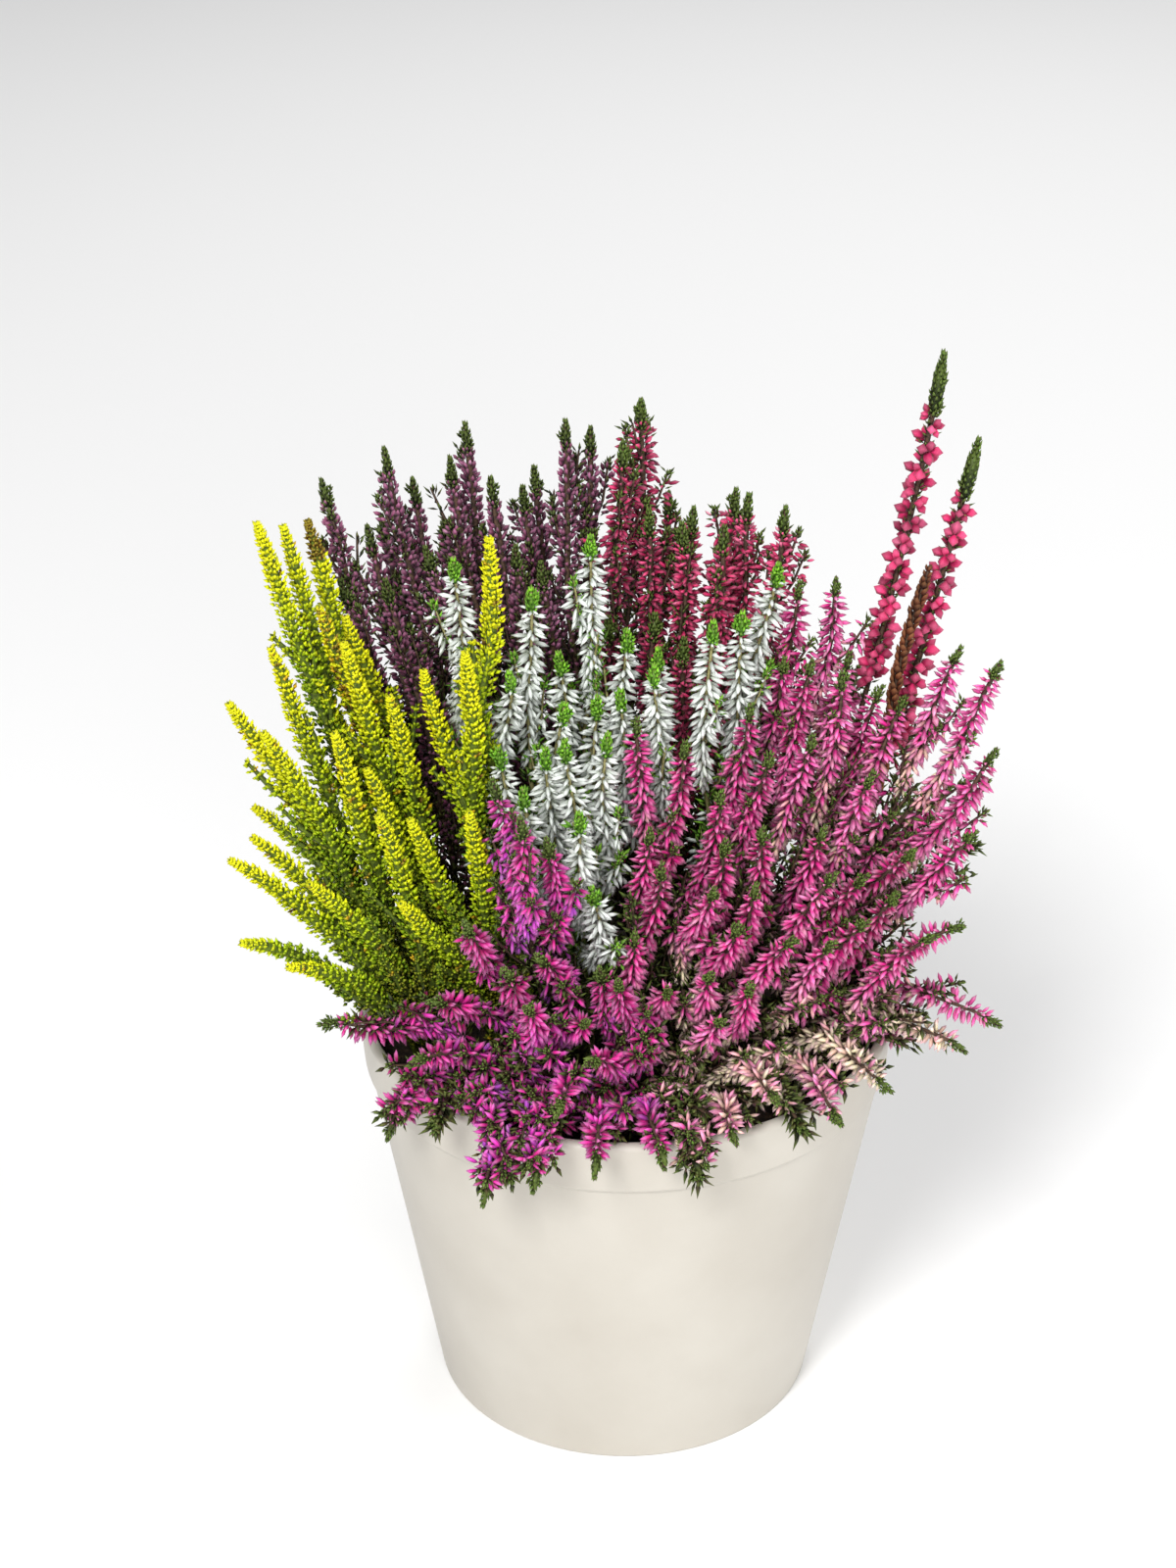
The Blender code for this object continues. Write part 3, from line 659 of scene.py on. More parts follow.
def add(tree, kind, inputs=None, **settings):
    """Adds a node. settings are its properties, with stops for a ramp's (place, hex colour) pairs."""
    node = tree.nodes.new("ShaderNode" + kind)
    for name, value in settings.items():
        if name == "stops":
            while len(node.color_ramp.elements) < len(value):
                node.color_ramp.elements.new(1.0)
            for element, (place, colour) in zip(node.color_ramp.elements, value):
                element.position = place
                element.color = linear(colour)
        else:
            setattr(node, name, value)
    put_in(node, inputs or {})
    return node


def new_material(name):
    """A material with a plain Principled shader: itself, its node tree and that shader."""
    made = bpy.data.materials.new(name)
    made.use_nodes = True
    return made, made.node_tree, made.node_tree.nodes["Principled BSDF"]


print("mid grey in linear light:", round(linear("#808080")[0], 3))

# %% [markdown]
# ## Petals and leaves from the palette map
# A heather bud never opens here. Its four papery sepals stay folded, so it is silky rather than glossy,
# paler towards the point, and darker in the seams and at the foot where it is shaded. A scale leaf is
# waxier and has a pale tip, and a withered one is dull. A material for every tone would take dozens.
# Instead one function reads the palette map: the column chooses the tone and the shade, and the height
# in it the gradient. Both are papery or finely downy, so they shine less than their IOR would let them.

# %% Finish for buds and leaves
MIX_FACTOR = 0
MIX_A = 6
MIX_B = 7
MIX_RESULT = 2
SHADE_DARK = 0.58
SHADE_LIGHT = 1.14
SEAM_DARK = 0.84
SEAM_LIGHT = 1.06
FOOT_ENDS = 0.5
POINT_FROM = 0.35
POINT_FULL = 0.9
PLANT_IOR = 1.42
PAPERY_SPECULAR = 0.3


def plant_finish(name, tones, foot, foot_share, point, point_share, lobes=4, roughness=0.6, sheen=0.1):
    """A material for buds or leaves. tones are its ramp, and foot and point the colours towards which
    its foot and its point turn, each by a share."""
    made, tree, shader = new_material(name)
    palette = add(tree, "UVMap", uv_map=PALETTE_MAP)
    place = add(tree, "SeparateXYZ", {0: palette})
    height = place.outputs[1]
    column = add(tree, "Math", {0: place, 1: COLUMNS}, operation="MULTIPLY")
    cell = add(tree, "Math", {0: column}, operation="FLOOR")
    level = add(tree, "Math", {0: cell, 1: SHADES}, operation="DIVIDE")
    tone = add(tree, "Math", {0: level}, operation="FLOOR")
    tone_share = add(tree, "Math", {0: tone, 1: TONES - 1}, operation="DIVIDE")
    colour = add(tree, "ValToRGB", {0: tone_share}, stops=tones)
    shade = add(tree, "Math", {0: level}, operation="FRACT")
    light = add(tree, "MapRange", {0: shade, 2: 1 - 1 / SHADES, 3: SHADE_DARK, 4: SHADE_LIGHT})
    lit = add(tree, "VectorMath", {0: colour, 3: light}, operation="SCALE")
    at_foot = add(tree, "MapRange", {0: height, 1: 0.0, 2: FOOT_ENDS, 3: foot_share, 4: 0.0},
                  interpolation_type="SMOOTHSTEP")
    footed = add(tree, "Mix", {MIX_FACTOR: at_foot, MIX_A: lit, MIX_B: linear(foot)}, data_type="RGBA")
    at_point = add(tree, "MapRange", {0: height, 1: POINT_FROM, 2: POINT_FULL, 3: 0.0, 4: point_share},
                   interpolation_type="SMOOTHSTEP")
    footed = footed.outputs[MIX_RESULT]
    pointed = add(tree, "Mix", {MIX_FACTOR: at_point, MIX_A: footed, MIX_B: linear(point)}, data_type="RGBA")
    around = add(tree, "Math", {0: column}, operation="FRACT")
    turn = add(tree, "Math", {0: around, 1: lobes * 2 * math.pi}, operation="MULTIPLY")
    wave = add(tree, "Math", {0: turn}, operation="COSINE")
    seam = add(tree, "MapRange", {0: wave, 1: -1.0, 2: 1.0, 3: SEAM_DARK, 4: SEAM_LIGHT})
    seamed = add(tree, "VectorMath", {0: pointed.outputs[MIX_RESULT], 3: seam}, operation="SCALE")
    put_in(shader, {"Base Color": seamed, "Roughness": roughness, "Sheen Weight": sheen,
                    "IOR": PLANT_IOR, "Specular IOR Level": PAPERY_SPECULAR})
    return made


print("columns read by a plant finish:", TONES, "tones in", SHADES, "shades each")

# %% [markdown]
# ## The colours of each plant
# Each heather runs through a range of its own: its young buds are clear and its old ones fade or brown.
# A range is a ramp of hex values, read off buds in the light and buds in the shade. With age the white
# turns greenish and the pink cream, and the leaves run from fresh green to the brown of those that die
# inside the mound. The near-black greens in the ramps of the leaves and of the yellow foliage are painted
# shade, for deep in the mound. A leaf has one fold on each side, so it gets two seams instead of four.

# %% Finishes of buds and leaves
FINISHES = {
    "purple": plant_finish(
        "Dried mauve heather bud",
        [(0.0, "#34101F"), (0.3, "#58223A"), (0.55, "#7C385A"), (0.8, "#A26286"), (1.0, "#C294AC")],
        foot="#220E18", foot_share=0.7, point="#B87E9A", point_share=0.38, roughness=0.7),
    "crimson": plant_finish(
        "Crimson heather bud",
        [(0.0, "#5C0A2C"), (0.3, "#A8124C"), (0.6, "#D42664"), (0.85, "#E65C8C"), (1.0, "#EFA4B8")],
        foot="#3A0A18", foot_share=0.6, point="#EE7CA0", point_share=0.35),
    "white": plant_finish(
        "White heather bud",
        [(0.0, "#E9EFE9"), (0.5, "#DFE6DF"), (0.8, "#D6DABE"), (1.0, "#B0B77E")],
        foot="#6E7C4C", foot_share=0.6, point="#F4F8F4", point_share=0.5),
    "pink": plant_finish(
        "Pink heather bud",
        [(0.0, "#A40A58"), (0.2, "#DC1C86"), (0.4, "#EC409E"), (0.6, "#F27CBA"), (0.8, "#F2B4AC"),
         (1.0, "#F4E8C0")],
        foot="#620834", foot_share=0.5, point="#FFB8DE", point_share=0.45),
    "violet": plant_finish(
        "Violet heather bud",
        [(0.0, "#A20C58"), (0.3, "#DE2292"), (0.6, "#D43ABC"), (0.8, "#B24CC8"), (1.0, "#E6A8DA")],
        foot="#4C0A38", foot_share=0.55, point="#F6A0E2", point_share=0.4),
    # Painted shade: the near-black end of the yellow ramp stands for the shade inside the mound.
    "yellow": plant_finish(
        "Yellow heather foliage",
        [(0.0, "#5C341A"), (0.1, "#B88418"), (0.2, "#DEDA0A"), (0.4, "#C6D008"), (0.6, "#86A808"),
         (0.8, "#46700E"), (1.0, "#16280A")],
        foot="#6A7C08", foot_share=0.45, point="#F0EE38", point_share=0.3,
        lobes=2, roughness=0.55, sheen=0.0),
    # Painted shade: the leaf ramp's near-black green at 0.85 stands for the shade deep in the mound.
    "leaf": plant_finish(
        "Green heather scale leaf",
        [(0.0, "#86C830"), (0.15, "#62A428"), (0.4, "#587430"), (0.65, "#465426"), (0.85, "#222E14"),
         (1.0, "#3A2C1C")],
        foot="#18200A", foot_share=0.5, point="#9CB450", point_share=0.3,
        lobes=2, roughness=0.5, sheen=0.0),
    "dead": plant_finish(
        "Withered brown heather scale",
        [(0.0, "#4A2416"), (0.3, "#6A3820"), (0.5, "#845028"), (0.7, "#86742A"), (1.0, "#5A7020")],
        foot="#2E160C", foot_share=0.7, point="#A8744A", point_share=0.35,
        lobes=2, roughness=0.75, sheen=0.0),
}
print("plant finishes:", len(FINISHES))

# %% [markdown]
# ## Bark and peat
# Below its flowers a heather stem is thin and woody: brown and flaking where it is old, greenish where it
# is young, and green where leaves clasp it. The peat that the pot is filled with is nearly black and matt,
# all crumbs and fibres. Both are rough natural stuff without a shine, so one noise, as coarse as the real
# flakes or crumbs, can colour them and raise them by a bump. Modelled flakes would be too fine to see.

# %% Finish for bark and peat


def rough_finish(name, stops, grain, detail, strength, relief, roughness):
    """A matt finish from one noise. Its grain and its relief are in millimetres."""
    made, tree, shader = new_material(name)
    where = add(tree, "TexCoord").outputs["Object"]
    noise = add(tree, "TexNoise", {"Vector": where, "Scale": 1 / (grain * MM), "Detail": detail})
    colour = add(tree, "ValToRGB", {0: noise}, stops=stops)
    bump = add(tree, "Bump", {"Strength": strength, "Distance": relief * MM, "Height": noise})
    put_in(shader, {"Base Color": colour, "Normal": bump, "Roughness": roughness})
    return made


def bark_finish(name, dark, light):
    """Thin bark, with flakes of about a millimetre and much finer ones on them."""
    return rough_finish(name, [(0.3, dark), (0.7, light)],
                        grain=1.11, detail=3.0, strength=0.5, relief=0.2, roughness=0.8)


BARK = bark_finish("Brown heather bark", "#2A1C14", "#5E4634")
PALE_BARK = bark_finish("Young greenish heather bark", "#6E6A3C", "#A8A06C")
GREEN_BARK = bark_finish("Green heather stem clasped by leaves", "#2E3C0A", "#66780E")
PEAT = rough_finish("Moist peat compost", [(0.35, "#17100A"), (0.55, "#33241A"), (0.75, "#5A4432")],
                    grain=2.38, detail=6.0, strength=0.9, relief=1.2, roughness=0.95)
print("rough finishes:", ", ".join(finish.name for finish in (BARK, PALE_BARK, GREEN_BARK, PEAT)))

# %% [markdown]
# ## Buds in rows round the stem
# A spike opens from its foot. Its upper buds are small and reach up and out, the middle ones stand
# straight out, and the old ones at the foot hang down. Buds scattered at random would leave holes and
# heaps. Rows half a step apart give the dense, even head of the real plant, and a little seeded disorder
# keeps it alive. Lengths are in millimetres and lifts in degrees, and the three values of a list hold for
# the top, the middle and the foot of the flowers.

# %% How each plant carries its buds
PLAIN_LOOK = {"tip": 1.0, "pale": 0.0, "twig_core": 0.5}
LOOKS = {
    "purple": {"row": 2.0, "around": 6, "length": 2.7, "width": 0.70, "foot_r": 1.1, "lift": (66, 50, 25),
               "droop": 0.05, "tone": (0.58, 0.48, 0.30), "spread": 0.22, "leaf": 0.72, "core": 0.9,
               "twigs_from": 0.2, "twig_every": 6.2, "creepers": 1},
    "crimson": {"row": 2.1, "around": 7, "length": 3.4, "width": 0.68, "foot_r": 0.9, "lift": (50, 10, -35),
                "droop": 0.18, "tone": (0.62, 0.52, 0.32), "spread": 0.24, "leaf": 0.58, "core": 0.8,
                "twigs_from": 0.1, "twig_every": 5.5, "creepers": 1},
    "white": {"row": 2.3, "around": 7, "length": 4.9, "width": 0.66, "foot_r": 0.5, "lift": (18, -8, -46),
              "droop": 0.25, "tone": (0.08, 0.12, 0.40), "spread": 0.16, "leaf": 0.14, "core": 0.45,
              "twigs_from": 0.45, "twig_every": 9.0, "creepers": 0},
    "pink": {"row": 1.9, "around": 6, "length": 4.2, "width": 0.70, "foot_r": 0.6, "lift": (18, -12, -50),
             "droop": 0.28, "tone": (0.20, 0.36, 0.74), "spread": 0.22, "leaf": 0.50, "core": 0.6,
             "twigs_from": 0.45, "twig_every": 8.5, "creepers": 5, "tip": 0.8, "pale": 0.62},
    "violet": {"row": 1.85, "around": 7, "length": 4.3, "width": 0.70, "foot_r": 0.6, "lift": (20, -16, -54),
               "droop": 0.30, "tone": (0.18, 0.44, 0.70), "spread": 0.16, "leaf": 0.55, "core": 0.6,
               "twigs_from": 0.4, "twig_every": 8.0, "creepers": 6, "tip": 0.85},
    "yellow": {"twigs_from": 0.5, "twig_every": 8.5, "core": 1.5, "twig_core": 1.1, "creepers": 0},
    "dead": {"core": 0.55},
}
LOOKS = {plant: {**PLAIN_LOOK, **look} for plant, look in LOOKS.items()}
print("looks:", ", ".join(LOOKS))

# %% Buds of one shoot
ON_TIP = 0.2
LIFT_AT = (0, 0.3, 1)
TONE_AT = (0, 0.5, 1)
BUD_GROWN = ([0, 0.14, 0.85, 1], [0.62, 1, 1, 0.8])
TURN_SCATTER = 0.16
LIFT_SCATTER = 9.0
AIM_SCATTER = 0.07
PALE_FROM = 158.0
PALE_SPAN = 42.0


def buds_on(shoot, look, rng):
    """Copies of a bud for one flowering shoot. A pale look's buds turn to cream where they stand low,
    because they are the oldest."""
    tip, bloom = zones(shoot)
    rows = max(3, round(bloom / look["row"]))
    row, turn = rows_round(rows, look["around"])
    share = (row + rng.uniform(0.1, 0.9, len(row))) / rows
    turn = turn + rng.normal(0, TURN_SCATTER, len(row))
    centre, way, out = out_from(shoot, (1 - ON_TIP) * tip + share * (bloom + ON_TIP * tip), turn)
    lift = np.radians(np.interp(share, LIFT_AT, look["lift"]) + rng.normal(0, LIFT_SCATTER, len(row)))
    aim = slanted(out, way, lift) - [0, 0, look["droop"]] + rng.normal(0, AIM_SCATTER, out.shape)
    grown = np.interp(share, *BUD_GROWN) * rng.uniform(0.86, 1.1, len(row))
    feet = centre + out * look["foot_r"]
    tones = np.interp(share, TONE_AT, look["tone"]) + shoot["tint"]
    tones = np.clip(tones + rng.normal(0, look["spread"] / 2, len(row)), 0, 1)
    tones = tones + look["pale"] * np.clip((PALE_FROM - feet[:, 2]) / PALE_SPAN, 0, 1)
    full_size = (look["length"], look["width"], look["width"])
    return packed(feet, unit(aim), way, grown, full_size, tones, rng.random(len(row)))


print("buds on a pink shoot of 42 mm:", round(42 / LOOKS["pink"]["row"]) * LOOKS["pink"]["around"])

# %% [markdown]
# ## The tall crimson shoots
# Two crimson shoots have outgrown the rest. Rosettes of four stout buds stand on them by turns on one side
# and the other, clear of one another near the top and crowded lower down. Rows would look too full here,
# so each rosette is placed by its own step and turn. In a rosette two buds stand side by side, one
# reaches up and one hangs.

# %% Rosettes of stout buds
ROSETTE_STEPS = (3.3, 2.7, 1.7)
ROSETTE_TURN = 2.75
BUD_TURNS = (-0.75, 0.75, 0.0, 0.1)
BUD_LIFTS = (5, 0, 48, -48)
STOUT_BUD = (4.1, 1.5, 1.4)


def tall_buds(shoot, rng):
    """Copies of a bud for one tall shoot."""
    tip, bloom = zones(shoot)
    downs = []
    down = tip
    while down < tip + bloom:
        downs.append(down)
        down += np.interp(down, [tip, tip + 0.5 * bloom, tip + bloom], ROSETTE_STEPS)
    buds = len(BUD_TURNS)
    turn = np.repeat(np.arange(len(downs)) * ROSETTE_TURN + rng.normal(0, 0.15, len(downs)), buds)
    turn = turn + np.tile(BUD_TURNS, len(downs)) + rng.normal(0, 0.1, len(turn))
    lift = np.radians(np.tile(BUD_LIFTS, len(downs)) + rng.normal(8, 8, len(turn)))
    down = np.repeat(downs, buds)
    centre, way, out = out_from(shoot, down, turn)
    grown = rng.uniform(0.85, 1.15, len(down)) * np.interp(down, [tip, tip + 8], [0.7, 1])
    tones = 0.5 + rng.normal(0, 0.14, len(down))
    return packed(centre + out, slanted(out, way, lift), way, grown, STOUT_BUD, tones, rng.random(len(down)))


print("tall shoots:", sum(shoot["build"] == "tall" for shoot in shoots))

# %% [markdown]
# ## Scale leaves
# Heather leaves are scales two or three millimetres long. At a shoot's tip they lie close together like
# tiles and make a knobbly green point, often with smaller knobs at its foot. Lower down they stand off
# the stem in threes to fives, longer and browner towards the soil, and darker there by painted shade
# too. A needle with three sides is enough for each, because so many overlap.

# %% A green tip and its leaves
TIP_ROW = 1.1
TIP_LEAF = (2.0, 0.58, 0.42)
TIP_SPLAY = ([0, 0.5, 1], [6, 18, 30])
TIP_BULGE = ([0, 0.3, 0.7, 1], [0.08, 0.34, 0.4, 0.26])
TALL_STOUT = 1.5
TALL_CORE = 0.8
TIP_CORE = 0.44
# Painted shade: the solid core under a green tip's leaves is given a darker tone and the darkest shade.
CORE_DARKER = 0.12
CORE_SHADE = 0.1


def tip_leaves(shoot, look, rng, around=5):
    """Leaves tiled over a shoot's green tip."""
    tip, _ = zones(shoot)
    rows = max(3, round(tip / TIP_ROW))
    row, turn = rows_round(rows, around)
    share = (row + 0.6) / rows
    centre, way, out = out_from(shoot, share * tip + 1.0, turn + rng.normal(0, 0.1, len(row)))
    splay = np.radians(np.interp(share, *TIP_SPLAY) + rng.normal(0, 5, len(row)))
    stout = TALL_STOUT if shoot["build"] == "tall" else look["tip"]
    bulge = stout * shoot["style"]["tip_radius"] * np.interp(share, *TIP_BULGE)
    grown = rng.uniform(0.85, 1.15, len(row)) * look["tip"]
    tones = look["leaf"] + 0.12 * share - 0.06 + rng.normal(0, 0.05, len(row))
    return packed(centre + out * bulge[:, None], slanted(way, out, splay), out, grown, TIP_LEAF, tones,
                  rng.random(len(row)))


def tip_cores(group, look):
    """The solid bodies under the leaves of the shoots' green tips."""
    tips = np.array([zones(shoot)[0] for shoot in group])
    stood = [stand_on(shoot, [tip + 1.5]) for shoot, tip in zip(group, tips)]
    feet, aims, across, _ = (np.concatenate(rows) for rows in zip(*stood))
    radii = np.array([shoot["style"]["tip_radius"] * (TALL_CORE if shoot["build"] == "tall"
                                                      else TIP_CORE * look["tip"]) for shoot in group])
    sizes = np.stack([tips + 0.8, radii, radii], axis=1)
    # Painted shade: the core is darker than the leaves over it.
    tones = np.full(len(group), look["leaf"] + CORE_DARKER)
    return feet, aims, across, sizes, tones, np.full(len(group), CORE_SHADE)


print("rows of leaves on a green tip of 7 mm:", round(7 / TIP_ROW))

# %% Leaves of the knobs and of the stem
KNOB_LEAVES = 8
KNOB_LEAN = 0.75
KNOB_TURN = 2.4
KNOB_OFF = 0.9
KNOB_LONG = 2.0
KNOB_R = 0.55
KNOB_LEAF = (1.7, 0.6, 0.45)
STEM_SPLAY = (25, 70)
STEM_BROWNER = 0.12
# Painted shade: below DEEP_FROM the stem leaves turn darker as well as browner, for the shade low in the
# mound.
DEEP_FROM = 180.0
DEEP_SPAN = 50.0
DEEP_LONGER = 0.35
DEEP_BROWN_AND_SHADE = 0.26


def knob_leaves(shoot, look, rng):
    """Leaves of the small knobs round the foot of a green tip, wound up each knob like a screw."""
    knobs = int(rng.integers(1, 5))
    turn = rng.uniform(0, 2 * math.pi, knobs)
    centre, way, out = out_from(shoot, rng.uniform(0.55, 1.1, knobs) * zones(shoot)[0], turn)
    axis = np.repeat(unit(KNOB_LEAN * out + way), KNOB_LEAVES, axis=0)
    leaf = np.tile(np.arange(KNOB_LEAVES), knobs)
    up = (leaf / KNOB_LEAVES)[:, None]
    square = unit(np.cross(axis, [0.2, 0.4, 1.0]))
    ring = slanted(square, np.cross(axis, square), KNOB_TURN * leaf)
    feet = np.repeat(centre, KNOB_LEAVES, axis=0) + axis * (KNOB_OFF + KNOB_LONG * up) * look["tip"]
    feet = feet + ring * KNOB_R * (1 - 0.5 * up)
    aim = unit(axis + ring * (0.65 - 0.5 * up))
    grown = rng.uniform(0.8, 1.1, len(leaf)) * look["tip"]
    tones = look["leaf"] + rng.normal(0.02, 0.05, len(leaf))
    return packed(feet, aim, ring, grown, KNOB_LEAF, tones, rng.random(len(leaf)))


def stem_leaves(shoot, look, rng, start, row_step, around, length):
    """Leaves that stand off the stem from a length down to the soil, browner as they go down, and darker
    by painted shade.
    """
    reach = shoot["length"] - start
    rows = max(2, round(reach / row_step))
    row, turn = rows_round(rows, around)
    down = start + (row + rng.uniform(0, 0.9, len(row))) * reach / rows
    centre, way, out = out_from(shoot, down, turn + rng.normal(0, 0.25, len(row)))
    splay = np.radians(rng.uniform(*STEM_SPLAY, len(row)))
    deep = np.clip((DEEP_FROM - centre[:, 2]) / DEEP_SPAN, 0, 1)
    grown = rng.uniform(0.75, 1.2, len(row)) * (1 + DEEP_LONGER * deep)
    # Painted shade: low leaves are taken further down the ramp, darker as well as browner.
    tones = look["leaf"] + STEM_BROWNER + DEEP_BROWN_AND_SHADE * deep + rng.normal(0, 0.07, len(row))
    return packed(centre + out * 0.5, slanted(way, out, splay), out, grown, (length, 0.56, 0.36), tones,
                  rng.random(len(row)))


print("leaves start to brown", DEEP_FROM - SOIL_TOP, "mm above the soil")

# %% [markdown]
# ## Twigs
# A heather shoot isn't bare below its flowers. Short twigs leave it every few millimetres and turn up
# beside it, with leaves and a few late buds, and together they close the mound. Thicker shoots could
# close it too, but they would look like bottle brushes. Each twig here starts on its shoot, keeps out of
# the pot and the peat, and is dressed by the same functions as a whole shoot.

# %% One twig
TWIG_SHARE = 0.75
TWIG_SPREAD = 0.65
HANGING_LONG = (9.0, 17.0)
HANGING_SPREAD = 1.3
TWIG_STEPS = 10
PEAT_CLEAR = 3.0
RIM_CLEAR = 2.2
RIM_INSIDE = 9.0


def kept_off_pot(line, outside):
    """A twig's line, moved up off the peat and the rim, or out off the wall where it starts outside."""
    line = line.copy()
    out = np.linalg.norm(line[:, :2], axis=1)
    if outside:
        line[:, :2] *= (np.maximum(out, RIM_R + RIM_CLEAR) / out)[:, None]
        return line
    low = np.interp(out, [RIM_R - 2 * RIM_INSIDE, RIM_R - RIM_INSIDE / 2],
                    [SOIL_TOP + PEAT_CLEAR, POT_H + RIM_CLEAR])
    line[:, 2] = np.where(out < RIM_R + RIM_CLEAR, np.maximum(line[:, 2], low), line[:, 2])
    return line


def twig_from(shoot, down, long, rng, creeps=False):
    """One twig, as a short shoot of its own. One that creeps lies outwards over the peat and the rim."""
    start, way, out = (rows[0] for rows in out_from(shoot, [down], [rng.uniform(0, 2 * math.pi)]))
    away = unit(np.array([start[0], start[1], 0.0]))
    reach = min(rng.uniform(*long), TWIG_SHARE * down)
    spread = HANGING_SPREAD if long is HANGING_LONG else TWIG_SPREAD
    aim = unit(way + spread * out + 0.2 * away)
    last = unit(0.3 * aim + way + 0.15 * away + rng.normal(0, 0.1, 3))
    if creeps:
        aim = unit(away + 0.7 * out + [0, 0, 0.5])
        last = unit(away + 0.5 * aim + [0, 0, -0.1] + rng.normal(0, 0.2, 3))
    middle = start + aim * 0.4 * reach
    points = np.array([start, start + aim * 0.25 * reach, middle, middle + last * 0.6 * reach])
    line = bezier(points, np.linspace(0, 1, TWIG_STEPS))
    outside = start[2] < POT_H and np.linalg.norm(start[:2]) > RIM_R
    line[2:] = kept_off_pot(line[2:], outside)
    style = {"tip": 3.0, "bloom": 0.6 * reach, "tip_radius": 1.3, "radius": 4.0}
    twig = {"line": line, "length": length_of(line), "style": style, "tint": shoot["tint"],
            "order": 1, "build": "twig"}
    twig["course"] = course_of(twig, TWIG_STEPS, 0)
    return twig


print("a twig clears the peat by", PEAT_CLEAR, "mm and the rim by", RIM_CLEAR, "mm")

# %% Where twigs grow
TWIG_LONG = (13.0, 24.0)
HANGING_EVERY = 2.2
INNER_TOP = 160.0
INNER_SHARE = 0.65
CREEP_LONG = (15.0, 28.0)
CREEP_OUT = 36.0


def twigs_on(shoot, rng, look):
    """The twigs of one shoot, from part way down its flowers to its foot."""
    if shoot["build"] == "tall":
        return []
    tip, bloom = zones(shoot)
    hangs = shoot["line"][-1, 2] < POT_H
    every, long = (HANGING_EVERY, HANGING_LONG) if hangs else (look["twig_every"], TWIG_LONG)
    down = tip + 4 if hangs else tip + look["twigs_from"] * bloom + 6
    downs = []
    while down < shoot["length"] - 3:
        downs.append(down)
        height = stand_on(shoot, [down])[0][0, 2]
        down += every * (INNER_SHARE if height < INNER_TOP else 1.0)
    grown = [twig_from(shoot, down + rng.uniform(-0.3, 0.3) * every, long, rng) for down in downs]
    if shoot["order"] == 0 and np.linalg.norm(shoot["line"][0, :2]) > CREEP_OUT:
        low = shoot["length"] - rng.uniform(2, 12, look["creepers"])
        grown += [twig_from(shoot, down, CREEP_LONG, rng, creeps=True) for down in low]
    return grown


print("twigs are", TWIG_LONG, "mm long, and", HANGING_LONG, "mm where a shoot hangs")

# %% [markdown]
# ## Rings into meshes
# Stems, the peat and the pot have one thing in common: each is a stack of rings closed by a point at each
# end. A bevelled curve could give a stem and a screw modifier a pot, but then each would need another way
# to be closed. One small function joins any such stack.

# %% Faces between rings


def ring_faces(rings, sides):
    """The triangles of rings of points, closed by the last two points. They face outwards where the rings
    run up their axis."""
    step = np.arange(sides)
    after = (step + 1) % sides
    low = np.arange(rings - 1)[:, None] * sides
    here, beside = low + step, low + after
    walls = np.stack([here, beside, beside + sides, here, beside + sides, here + sides], axis=-1)
    foot = np.full(sides, rings * sides)
    last = (rings - 1) * sides
    return np.concatenate([walls.reshape(-1, 3), np.stack([foot, after, step], axis=1),
                           np.stack([foot + 1, last + step, last + after], axis=1)])


def turned(profile, steps):
    """The points and triangles of a body turned from a profile of (radius, height), up from its foot. The
    profile begins and ends on the axis."""
    radii, heights = np.array(profile, float).T
    turns = np.arange(steps) * 2 * math.pi / steps
    rings = np.empty((len(profile) - 2, steps, 3))
    rings[..., 0] = radii[1:-1, None] * np.cos(turns)
    rings[..., 1] = radii[1:-1, None] * np.sin(turns)
    rings[..., 2] = heights[1:-1, None]
    points = np.concatenate([rings.reshape(-1, 3), [[0, 0, heights[0]], [0, 0, heights[-1]]]])
    return points, ring_faces(len(rings), steps)


print("triangles in a turned cone:", len(turned([(0, 0), (1, 0), (0, 1)], 8)[1]))

# %% [markdown]
# ## Stems
# A stem is a tube swept down its shoot's course. Under the flowers its core differs by plant, because
# stalks and bracts thicken some. Below them it is bare and a little over a millimetre thick, and it
# swells to two at the soil, where it runs on into its hole in the peat. The yellow heather's stems are
# green with the leaves that clasp them. Four sides are enough for so thin a thing.

# %% Stem tubes
STEM_SIDES = 4
STEM_RINGS = 15
STEM_TOP_R = 0.45
STEM_BARE_R = 0.7
STEM_FOOT_R = 1.0
STEM_FADE = 4.0
TWIG_SIDES = 3
TWIG_RINGS = 3
TWIG_TOP_R = 0.3
IN_SOIL = 8.0


def stem_tube(shoot, sides, rings, radii):
    """The points and triangles of one stem. radii are its lengths down and the radii there. Its rings run
    down, so its triangles are turned over."""
    down = np.linspace(1.0, shoot["length"], rings)
    radius = np.interp(down, *radii)
    centre, way, side, front = stand_on(shoot, down)
    if shoot["order"] == 0:
        centre = np.concatenate([centre, centre[-1:] - [0, 0, IN_SOIL]])
        side, front, radius = (np.concatenate([rows, rows[-1:]]) for rows in (side, front, radius))
    turn = (np.arange(sides) * 2 * math.pi / sides)[None, :, None]
    around = side[:, None] * np.cos(turn) + front[:, None] * np.sin(turn)
    around = centre[:, None] + radius[:, None, None] * around
    points = np.concatenate([around.reshape(-1, 3), centre[:1] + way[:1], centre[-1:]])
    return points, ring_faces(len(centre), sides)[:, ::-1]


